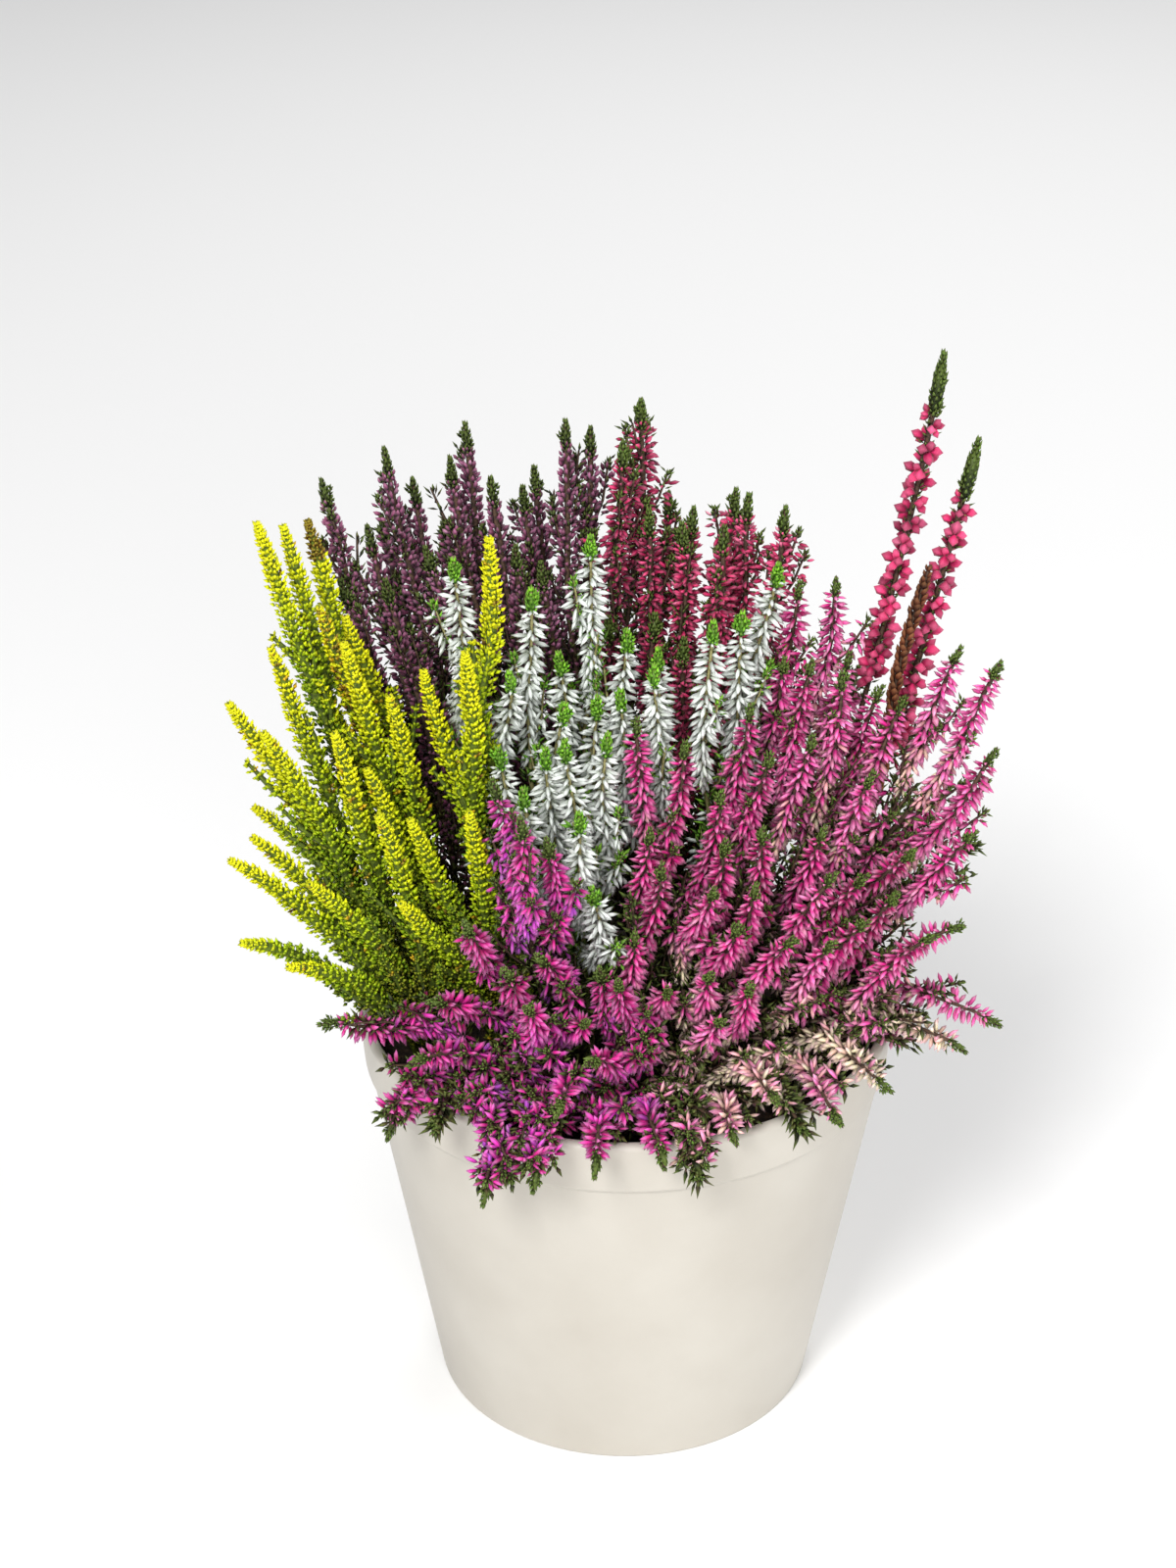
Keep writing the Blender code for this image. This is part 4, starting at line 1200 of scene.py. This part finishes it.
def stems_of(group, twigs, look):
    """The stems of a plant's shoots and of their twigs, as points and triangles."""
    core, twig_core = look["core"], look["twig_core"]
    tubes = []
    for shoot in group:
        tip, bloom = zones(shoot)
        foot = tip + bloom
        radii = ([0, tip, foot - STEM_FADE, foot + STEM_FADE, shoot["length"]],
                 [STEM_TOP_R, core, core, STEM_BARE_R, STEM_FOOT_R])
        tubes.append(stem_tube(shoot, STEM_SIDES, STEM_RINGS, radii))
    for twig in twigs:
        radii = ([0, STEM_FADE, twig["length"]], [TWIG_TOP_R, twig_core, twig_core])
        tubes.append(stem_tube(twig, TWIG_SIDES, TWIG_RINGS, radii))
    return gathered(tubes)


print("triangles in a stem:", len(ring_faces(STEM_RINGS, STEM_SIDES)))

# %% [markdown]
# ## Pieces of a plant
# Every spray's solid is replaced by the finer pieces of its plant. A piece for each shoot would give
# hundreds, so a plant's buds, its leaves and its stems are one mesh each, because that is how the real
# plant divides by colour and by feel. No two shoots of a plant have quite the same tint, and the crimson
# ones at the left edge are nearer to wine.

# %% Tints, and how a piece is fitted to the model
TINT_SPREAD = {"pink": 0.11, "violet": 0.08}
PLAIN_SPREAD = 0.05
WINE_EDGE = 14.0
WINE_TINT = 0.2
FIRST_SEED = 1000

for number, shoot in enumerate(shoots):
    shoot["rng"] = np.random.default_rng(FIRST_SEED + number)
    shoot["tint"] = float(shoot["rng"].normal(0, TINT_SPREAD.get(shoot["plant"], PLAIN_SPREAD)))
    if shoot["plant"] == "crimson" and shoot["line"][-1, 0] < WINE_EDGE:
        shoot["tint"] -= WINE_TINT


def group_of(plant):
    """The shoots of a plant."""
    return [shoot for shoot in shoots if shoot["plant"] == plant]


def nodes_of(plant):
    """The names of a plant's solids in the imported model."""
    return [f"{plant}_spray_{k + 1:02d}" for k in range(len(PLANTS[plant]["sprays"]))]


def fit(piece, nodes):
    """Rides a piece on the object's one body and hides the solids it replaces."""
    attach(piece, "root")
    if nodes:
        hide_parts(*nodes)


def fit_copies(name, parts, plant, finish):
    """One piece of a plant from copies of bodies: parts are (body, copies) pairs."""
    made = gathered([set_out(body, copies) for body, copies in parts])
    fit(mesh_object(name, finish, *made), nodes_of(plant))


def fit_stems(name, plant, twigs, bark):
    """The stems of a plant and of its twigs as one piece."""
    made = stems_of(group_of(plant), twigs, LOOKS[plant])
    fit(mesh_object(name, bark, *made), nodes_of(plant))


print("pink nodes:", nodes_of("pink")[0], "to", nodes_of("pink")[-1])

# %% [markdown]
# ## The five flowering plants
# Every shoot gets buds or stays green, a tip with knobs, leaves down its stem, and twigs. Twigs that reach
# the light carry a few late buds too, and those inside the mound only leaves. Small buds have three
# sides, and only the white heather's long ones and the tall shoots' stout ones four, which keeps the
# whole planting under a million triangles. The pink heather, with the most shoots, is split in two.

# %% Buds, leaves and stems of the flowering plants
SMALL_LONG = 4.5
LIT_OUT = 48.0
BUDDED_SHARE = {"purple": 0.8, "crimson": 0.8, "white": 0.7, "pink": 0.7, "violet": 0.9}
LATE_BUDS = {"row": 2.5, "around": 4}
STEM_LEAVES = {"green": (1.3, 5, 3.6), "tall": (1.9, 3, 3.0), "flowering": (2.8, 3, 4.4)}
TWIG_LEAF_ROW = 3.0
TWIG_LEAF = 3.4
SHORT_TWIG_LEAF = 2.7


def dressed_shoot(plant, shoot, look, buds, leaves):
    """Adds the buds and leaves of a shoot and of its twigs to those of its plant, and gives the twigs."""
    rng = shoot["rng"]
    tip, bloom = zones(shoot)
    if shoot["build"] == "tall":
        buds.append((BUD, tall_buds(shoot, rng)))
    elif shoot["build"] == "flowering":
        buds.append((SMALL_BUD if look["length"] < SMALL_LONG else BUD, buds_on(shoot, look, rng)))
    leaves.append((NEEDLE, tip_leaves(shoot, look, rng)))
    leaves.append((NEEDLE, knob_leaves(shoot, look, rng)))
    start = {"green": 2.0, "tall": tip, "flowering": tip + bloom - 4}[shoot["build"]]
    leaves.append((NEEDLE, stem_leaves(shoot, look, rng, start, *STEM_LEAVES[shoot["build"]])))
    twigs = twigs_on(shoot, rng, look)
    for twig in twigs:
        end = twig["line"][-1]
        lit = end[2] > INNER_TOP or math.hypot(end[0], end[1]) > LIT_OUT
        budded = lit and rng.random() < BUDDED_SHARE[plant]
        if budded:
            buds.append((SMALL_BUD, buds_on(twig, {**look, **LATE_BUDS}, rng)))
            leaves.append((NEEDLE, tip_leaves(twig, look, rng, around=3)))
        length = SHORT_TWIG_LEAF if budded else TWIG_LEAF
        leaves.append((NEEDLE, stem_leaves(twig, look, rng, 0.5, TWIG_LEAF_ROW, 3, length)))
    return twigs


def dress(plant, bark):
    """A plant's buds, leaves and stems."""
    look = LOOKS[plant]
    group = group_of(plant)
    buds = []
    leaves = [(BUD, tip_cores(group, look))]
    twigs = []
    for shoot in group:
        twigs += dressed_shoot(plant, shoot, look, buds, leaves)
    if plant == "pink":
        half = math.ceil(len(buds) / 2)
        fit_copies("pink_buds_1", buds[:half], plant, FINISHES[plant])
        fit_copies("pink_buds_2", buds[half:], plant, FINISHES[plant])
    else:
        fit_copies(f"{plant}_buds", buds, plant, FINISHES[plant])
    fit_copies(f"{plant}_leaves", leaves, plant, FINISHES["leaf"])
    fit_stems(f"{plant}_stems", plant, twigs, bark)
    print(plant, "twigs:", len(twigs))


for plant in ("purple", "crimson", "white", "pink", "violet"):
    dress(plant, PALE_BARK if plant == "white" else BARK)

# %% [markdown]
# ## Yellow foliage
# The yellow heather has no flowers. Its shoots are dense cones of short branchlets, each set with tiny
# scale leaves: brilliant yellow at the tips where the sun reaches them, olive to dark green inside and
# below, and brown here and there. Inside and below they are also painted darker, down to near black, as
# painted shade, and the outer leaves of each branchlet are painted lighter, as painted light. A smooth
# cone with a bump would lose the tips that stand out against the light. So a branchlet here is a fan of
# needles that leans up and out from the stem.

# %% Branchlets of the yellow shoots
TUFT_ROW = 2.2
TUFTS_AROUND = 6
TWIG_TUFT_ROW = 3.2
TUFT_LEAVES = 3
TUFT_LEAF = (2.0, 0.72, 0.6)
SHOOT_CONE = ([0, 6, 20, 44], [0.2, 1.6, 3.0, 4.2, 3.2])
TWIG_CONE = ([0, 4], [0.7, 1.6, 2.0])
BROWN_SHARE = 0.025
RUSTY_SHARE = 0.45
WITHERED_LONG = 12.0
# Painted shade: from BRIGHT_LONG down, below LOW_FROM and on twigs deep inside, needles run down the ramp to
# green and near black.
BRIGHT_LONG = 7.0
GREEN_AND_SHADE_LONG = 68.0
TWIG_HEIGHTS = (150, 215)
TWIG_INSIDE = (60, 20)
LOW_FROM = 190.0
LOW_SPAN = 60.0
YELLOW_TONE = 0.27
GREEN_AND_SHADE_TONES = 0.7
LOW_GREEN_AND_SHADE = 0.85
TUFT_REACH = 0.94
TOP_CROWDING = 1.3
YOUNG_LONG = 14.0


def tufts_on(shoot, rng, cone, inside, row_step, around):
    """Copies of a needle for one yellow shoot or twig. cone holds lengths down it and the radii there and
    at its foot, and inside says how many millimetres deeper it is coloured than it stands, which greens
    it and darkens it by painted shade."""
    reach = TUFT_REACH * shoot["length"]
    rows = max(3, round(reach / row_step))
    row, turn = rows_round(rows, around)
    down = ((row + rng.uniform(0.2, 0.8, len(row))) / rows) ** TOP_CROWDING * reach
    turn = turn + rng.normal(0, 0.12, len(row))
    radius = np.interp(down, [*cone[0], shoot["length"]], cone[1]) * rng.uniform(0.85, 1.15, len(row))
    radius = radius[:, None]
    centre, way, out = out_from(shoot, down + 1.2, turn)
    axis = unit(out * 0.8 + way)
    fan = unit(np.cross(axis, out))
    withered = shoot["build"] == "withered"
    brown = rng.random(len(row)) < (RUSTY_SHARE if shoot["build"] == "rusty" else BROWN_SHARE)
    brown |= (down < WITHERED_LONG) & withered
    # Painted shade: the further from the tip and the lower a needle stands, the further down the ramp it
    # goes, to green and near black.
    deep = np.clip((down + inside - BRIGHT_LONG) / GREEN_AND_SHADE_LONG, 0, 1)
    low = np.clip((LOW_FROM - centre[:, 2]) / LOW_SPAN, 0, 1) * np.clip(down / YOUNG_LONG, 0, 1)
    green = YELLOW_TONE + GREEN_AND_SHADE_TONES * np.maximum(deep, LOW_GREEN_AND_SHADE * low) + shoot["tint"]
    young = np.interp(down, [0, YOUNG_LONG], [0.75, 1.05])
    leaves = []
    for leaf in range(TUFT_LEAVES):
        up = (leaf + 0.6) / TUFT_LEAVES
        swing = 0.6 * (-1) ** leaf * (1 - 0.6 * up)
        aim = unit(axis + fan * swing + out * (0.25 * (leaf - 1)) + rng.normal(0, 0.1, axis.shape))
        feet = centre + (0.75 * out + 0.7 * way) * radius * up
        grown = rng.uniform(0.85, 1.2, len(row)) * (1.15 - 0.3 * up) * young
        tones = np.maximum(green - 0.05 * up + rng.normal(0, 0.035, len(row)), 0.2)
        tones = np.where(brown, rng.uniform(0, 0.06 if withered else 0.2, len(row)), tones)
        # Painted light: the outer leaves of each branchlet get lighter shades and the inner ones darker.
        shades = np.clip(0.4 + 0.6 * up + rng.normal(0, 0.12, len(row)), 0, 1)
        leaves.append(packed(feet, aim, out, grown, TUFT_LEAF, tones, shades))
    return tuple(np.concatenate(rows) for rows in zip(*leaves))


tufts = []
twigs = []
for shoot in group_of("yellow"):
    rng = shoot["rng"]
    tufts.append((NEEDLE, tufts_on(shoot, rng, SHOOT_CONE, 0, TUFT_ROW, TUFTS_AROUND)))
    for twig in twigs_on(shoot, rng, LOOKS["yellow"]):
        twigs.append(twig)
        # Painted shade: a twig that ends low is coloured as if it stood deeper inside, so greener and darker.
        inside = np.interp(twig["line"][-1, 2], TWIG_HEIGHTS, TWIG_INSIDE)
        tufts.append((NEEDLE, tufts_on(twig, rng, TWIG_CONE, inside, TWIG_TUFT_ROW, 3)))
half = len(tufts) // 2
fit_copies("yellow_foliage_1", tufts[:half], "yellow", FINISHES["yellow"])
fit_copies("yellow_foliage_2", tufts[half:], "yellow", FINISHES["yellow"])
fit_stems("yellow_stems", "yellow", twigs, GREEN_BARK)

# %% [markdown]
# ## The dead shoot
# One shoot at the right has died back. Its brown scales still clasp the stem like a plait, and a few live
# leaves hold on near its foot. Rows half a step apart would look like a cone. Three scales to a row, and
# each row turned on by about a quarter of a step, give the plait.

# %% Plaited brown scales
PLAIT_ROW = 1.7
PLAIT_SHARE = 0.75
PLAIT_TURN = 0.55
PLAIT_SPLAY = 0.38
PLAIT_SCALE = (3.4, 1.05, 0.7)


def plait_on(shoot, rng):
    """Copies of a bud, as the scales that clasp a dead shoot."""
    reach = PLAIT_SHARE * shoot["length"]
    rows = round(reach / PLAIT_ROW)
    row, turn = rows_round(rows, 3, PLAIT_TURN)
    down = (row + 0.5) * reach / rows
    centre, way, out = out_from(shoot, down + 1.5, turn)
    aim = unit(out * PLAIT_SPLAY + way + rng.normal(0, 0.06, out.shape))
    grown = np.interp(down, [0, 10, reach], [0.6, 1.0, 1.1])
    tones = np.interp(down, [0, 0.6 * reach, 0.75 * reach, reach], [0.1, 0.4, 0.7, 0.95])
    tones = tones + rng.normal(0, 0.06, len(row))
    feet = centre + out * np.interp(down, [0, 8, reach], [0.25, 0.65, 0.85])[:, None]
    return packed(feet, aim, out, grown, PLAIT_SCALE, tones, rng.random(len(row)))


dead = group_of("dead")[0]
fit_copies("dead_shoot_scales", [(BUD, plait_on(dead, dead["rng"]))], "dead", FINISHES["dead"])
fit_stems("dead_shoot_stem", "dead", [], BARK)

# %% [markdown]
# ## The bed of peat
# The peat fills the pot from its floor to a low crown under the rim. It could be a flat disk, but the gaps
# between the stems show its top, and the drainage holes its foot. So it is one closed body, turned to fit
# the wall, and two crossed waves make its top lumpy.

# %% Shape of the peat
BED_AROUND = 80
BED_RINGS = 26
BED_SHOULDER = 1.5
BED_CROWN = 0.8
BED_EDGE = 6.0
BED_FALL = 2.0
FLOOR_LIFT = 2.5
FLOOR_T = 2.0
WALL = 1.8
GAP_UNDER = 0.3
GAP_ROUND = 0.9
BASE_R = 54.0
BAND_H = 16.0
BAND_STEP = 2.4


def wall_radius(z):
    """The pot's outer radius at a height below its band."""
    return BASE_R + (RIM_R - BAND_STEP - BASE_R) * z / (POT_H - BAND_H)


def lumps(x, y):
    """Gentle unevenness of the peat's top, in millimetres."""
    return 0.9 * np.sin(x / 6.1 + 1.3) * np.cos(y / 7.3) + 0.5 * np.sin(x / 2.7) * np.sin(y / 3.1 + 0.4)


def peat_bed():
    """The points and triangles of the bed."""
    low = FLOOR_LIFT + FLOOR_T + GAP_UNDER
    foot, head = (wall_radius(z) - WALL - GAP_ROUND for z in (low, POT_H - BAND_H))
    out = np.linspace(head - 1.0, 0, BED_RINGS)
    up = SOIL_TOP + BED_CROWN + np.interp(out, [head - BED_EDGE, head], [0, -BED_FALL])
    wall = [(0, low), (foot, low), (head, SOIL_TOP - 3 * BED_SHOULDER), (head, SOIL_TOP - BED_SHOULDER)]
    points, faces = turned(wall + list(zip(out, up)), BED_AROUND)
    top = points[:, 2] > SOIL_TOP - BED_SHOULDER
    points[top, 2] += lumps(points[top, 0], points[top, 1])
    return points, faces


fit(mesh_object("peat_bed", PEAT, *peat_bed()), ["soil"])

# %% [markdown]
# ## Loose crumbs
# Crumbs of peat lie all over the bed, and a third of them close up round the stems, where they hide the
# edge of each hole. Each is a squat spindle with five sides, tipped any way up. Scattered instances would
# do the same, but copies in one mesh stay with the model.

# %% Loose crumbs on the peat
CRUMB_COUNT = 600
CRUMB_SPAN = 69.0
CRUMB_SCATTER = 2.2
CRUMB_SIZE = (1.5, 0.7, 0.55)
CRUMB_SEED = 77


def crumb_copies(rng):
    """Copies of a lump on the bed, a few large and most small."""
    out = CRUMB_SPAN * np.sqrt(rng.random(CRUMB_COUNT))
    turn = rng.uniform(0, 2 * math.pi, CRUMB_COUNT)
    near = rng.integers(0, len(roots), CRUMB_COUNT // 3)
    x, y = out * np.cos(turn), out * np.sin(turn)
    for axis, place in enumerate((x, y)):
        place[:len(near)] = roots[near, axis] + rng.normal(0, CRUMB_SCATTER, len(near))
    feet = np.stack([x, y, SOIL_TOP + 0.6 + lumps(x, y)], axis=1)
    aim = unit(rng.normal(0, 1, feet.shape))
    beside = rng.normal(0, 1, feet.shape)
    grown = rng.gamma(3.0, 0.33, CRUMB_COUNT) + 0.5
    return packed(feet, aim, beside, grown, CRUMB_SIZE, np.zeros(len(x)), np.zeros(len(x)))


points, faces, _ = set_out(LUMP, crumb_copies(np.random.default_rng(CRUMB_SEED)))
fit(mesh_object("peat_crumbs", PEAT, points, faces), [])

# %% [markdown]
# ## The nursery pot
# A 15 cm pot is moulded in polypropylene, in one shot: a thin, satin wall, faintly grained from the mould
# and a little cloudy where the plastic cooled unevenly, with a stepped band and a rolled lip. A lathe
# would be the way to make it by hand. Here the same profile as the solid's is turned with many more sides
# and with round corners, and the drainage holes are cut last.

# %% Finish of the pot
SATIN = (0.38, 0.52)
PLASTIC_IOR = 1.49


def pot_finish(name, stops, cloud, grain):
    """Satin polypropylene. cloud and grain are its two patterns' sizes in millimetres."""
    made, tree, shader = new_material(name)
    where = add(tree, "TexCoord").outputs["Object"]
    fine = add(tree, "TexNoise", {"Vector": where, "Scale": 1 / (grain * MM), "Detail": 2.0})
    wide = add(tree, "TexNoise", {"Vector": where, "Scale": 1 / (cloud * MM), "Detail": 4.0})
    colour = add(tree, "ValToRGB", {0: wide}, stops=stops)
    shine = add(tree, "MapRange", {0: wide, 3: SATIN[0], 4: SATIN[1]})
    bump = add(tree, "Bump", {"Strength": 0.25, "Distance": 0.2 * MM, "Height": fine})
    put_in(shader, {"Base Color": colour, "Roughness": shine, "Normal": bump, "IOR": PLASTIC_IOR})
    return made


POT_PLASTIC = pot_finish("Moulded polypropylene, stone white", [(0.3, "#B9B3A8"), (0.7, "#C5C0B6")],
                         cloud=45.5, grain=0.714)
print("pot finish:", POT_PLASTIC.name)

# %% Profile of the pot
LIP = 1.2
FOOT_W = 5.0
BOSS_R = 14.0
DRAFT = 1.0
BAND_SLOPE = 1.5
CORNER_R = 0.7
CORNER_STEPS = 3


def rounded(profile):
    """A profile with each inner corner cut round by short steps."""
    made = [profile[0]]
    for before, corner, after in zip(profile, profile[1:], profile[2:]):
        before, corner, after = (np.array(place, float) for place in (before, corner, after))
        back, ahead = (np.linalg.norm(place - corner) for place in (before, after))
        cut = min(CORNER_R, 0.45 * back, 0.45 * ahead)
        start = corner + (before - corner) / back * cut
        end = corner + (after - corner) / ahead * cut
        for t in np.linspace(0, 1, CORNER_STEPS + 1):
            made.append((1 - t) ** 2 * start + 2 * t * (1 - t) * corner + t ** 2 * end)
    return made + [profile[-1]]


def pot_profile():
    """Half of the pot's section, round the outside from the middle of its foot to that of its floor."""
    floor_top = FLOOR_LIFT + FLOOR_T
    band_low = POT_H - BAND_H
    return [
        (0, 0), (BOSS_R, 0), (BOSS_R + DRAFT, FLOOR_LIFT), (BASE_R - FOOT_W - DRAFT, FLOOR_LIFT),
        (BASE_R - FOOT_W, 0), (BASE_R, 0), (wall_radius(band_low), band_low),
        (RIM_R - LIP, band_low + DRAFT), (RIM_R, POT_H - LIP), (RIM_R - LIP, POT_H),
        (RIM_R - WALL - LIP, POT_H), (RIM_R - WALL - LIP, band_low + BAND_SLOPE),
        (wall_radius(band_low) - WALL, band_low - BAND_SLOPE), (wall_radius(floor_top) - WALL, floor_top),
        (0, floor_top),
    ]


print("points of the pot's profile:", len(rounded(pot_profile())))

# %% The pot and its drainage holes
POT_STEPS = 104
DRAIN_COUNT = 6
DRAIN_R = 4.5
DRAIN_RING_R = 34.0
DRAIN_SIDES = 32
DRAIN_DEPTH = 20.0
SHARP = math.radians(40)


def drain(pot, turn):
    """Cuts a drainage hole through the pot's floor."""
    place = Vector((DRAIN_RING_R * math.cos(turn), DRAIN_RING_R * math.sin(turn), FLOOR_LIFT)) * MM
    bpy.ops.mesh.primitive_cylinder_add(
        vertices=DRAIN_SIDES, radius=DRAIN_R * MM, depth=DRAIN_DEPTH * MM, location=place)
    cutter = bpy.context.object
    cut = pot.modifiers.new("Drain", "BOOLEAN")
    cut.operation = "DIFFERENCE"
    cut.object = cutter
    graph = bpy.context.evaluated_depsgraph_get()
    mesh = bpy.data.meshes.new_from_object(pot.evaluated_get(graph))
    pot.modifiers.clear()
    pot.data = mesh
    bpy.data.objects.remove(cutter)


pot = mesh_object("nursery_pot", POT_PLASTIC, *turned(rounded(pot_profile()), POT_STEPS))
for k in range(DRAIN_COUNT):
    drain(pot, 2 * math.pi * (k + 0.5) / DRAIN_COUNT)
pot.data.name = "nursery_pot"
pot.data.shade_smooth()
pot.data.set_sharp_from_angle(angle=SHARP)
fit(pot, ["pot"])
print("pot faces:", len(pot.data.polygons))

# %% [markdown]
# ## Camera
# The picture looks down on the mound by 28 degrees from straight ahead, with the planting a little
# above the middle of a tall frame. A wide lens close by would swell the front of the mound. A longer one
# from further off keeps its shape true.

# %% Camera
PHOTO_TALL = 1600
PIXELS_PER_MM = 3.75
AIM = in_space(-10.67, 166.0, 0.0)
SENSOR = 36.0
CAMERA_FAR = 900.0

camera_data = bpy.data.cameras.new("Camera")
camera_data.sensor_fit = "VERTICAL"
camera_data.sensor_height = SENSOR
camera_data.lens = SENSOR * CAMERA_FAR * PIXELS_PER_MM / PHOTO_TALL
camera = in_scene("Camera", camera_data)
camera.location = (AIM + np.array([0, -math.cos(LOOK_DOWN), math.sin(LOOK_DOWN)]) * CAMERA_FAR) * MM
camera.rotation_euler = (math.pi / 2 - LOOK_DOWN, 0, 0)
bpy.context.scene.camera = camera
print("lens:", round(camera_data.lens, 1), "mm")

# %% [markdown]
# ## Floor and light
# The planting stands on a flat sheet of white paper, matt and very faintly clouded. The noise spans the
# floor from 0 to 1, so its scale is the floor's width by a cloud's. The key light is a large soft disk above
# and to the left. A weaker one in front opens the shadows between the buds, a wide one fills from the
# right, and one behind parts the mound from the paper. One strong lamp would make those shadows black.

# %% Floor
FLOOR_WIDE = 12.0
PAPER_CLOUD = 4.0

paper, tree, shader = new_material("White paper sweep")
clouds = add(tree, "TexNoise", {"Scale": FLOOR_WIDE / PAPER_CLOUD, "Detail": 2.0})
tint = add(tree, "ValToRGB", {0: clouds}, stops=[(0.3, "#F4F4F4"), (0.7, "#F8F8F8")])
put_in(shader, {"Base Color": tint, "Roughness": 0.9})
corners = [(x * FLOOR_WIDE / 2, y * FLOOR_WIDE / 2, 0) for x, y in ((-1, -1), (1, -1), (1, 1), (-1, 1))]
floor_mesh = bpy.data.meshes.new("studio_floor")
floor_mesh.from_pydata(corners, [], [(0, 1, 2, 3)])
floor_mesh.materials.append(paper)
floor = in_scene("studio_floor", floor_mesh)
print("floor:", FLOOR_WIDE, "m wide")

# %% Lights
LIGHTS = {
    "Key": ((-0.6, -1.5, 1.7), (0, 0, 0.17), 0.7, 40),
    "Front": ((0.2, -1.7, 0.8), (0, 0, 0.16), 0.9, 12),
    "Fill": ((1.5, -0.5, 1.1), (0, 0, 0.1), 1.4, 11),
    "Back": ((0.3, 1.4, 1.4), (0, 0, 0.2), 1.0, 10),
}
ROOM_LIGHT = 0.32


def soft_light(name, place, aim, size, power):
    """A soft disk of light at a place, turned to what it lights. Its size is in metres."""
    disk = bpy.data.lights.new(name, "AREA")
    disk.shape = "DISK"
    disk.size = size
    disk.energy = power
    light = in_scene(name, disk)
    light.location = place
    light.rotation_euler = (Vector(aim) - light.location).to_track_quat("-Z", "Y").to_euler()


for name, (place, aim, size, power) in LIGHTS.items():
    soft_light(name, place, aim, size, power)
bpy.context.scene.view_settings.view_transform = "Standard"
world = bpy.data.worlds.new("Studio")
bpy.context.scene.world = world
world.use_nodes = True
put_in(world.node_tree.nodes["Background"], {"Color": linear("#FFFFFF"), "Strength": ROOM_LIGHT})
print("lights:", len(bpy.data.lights))
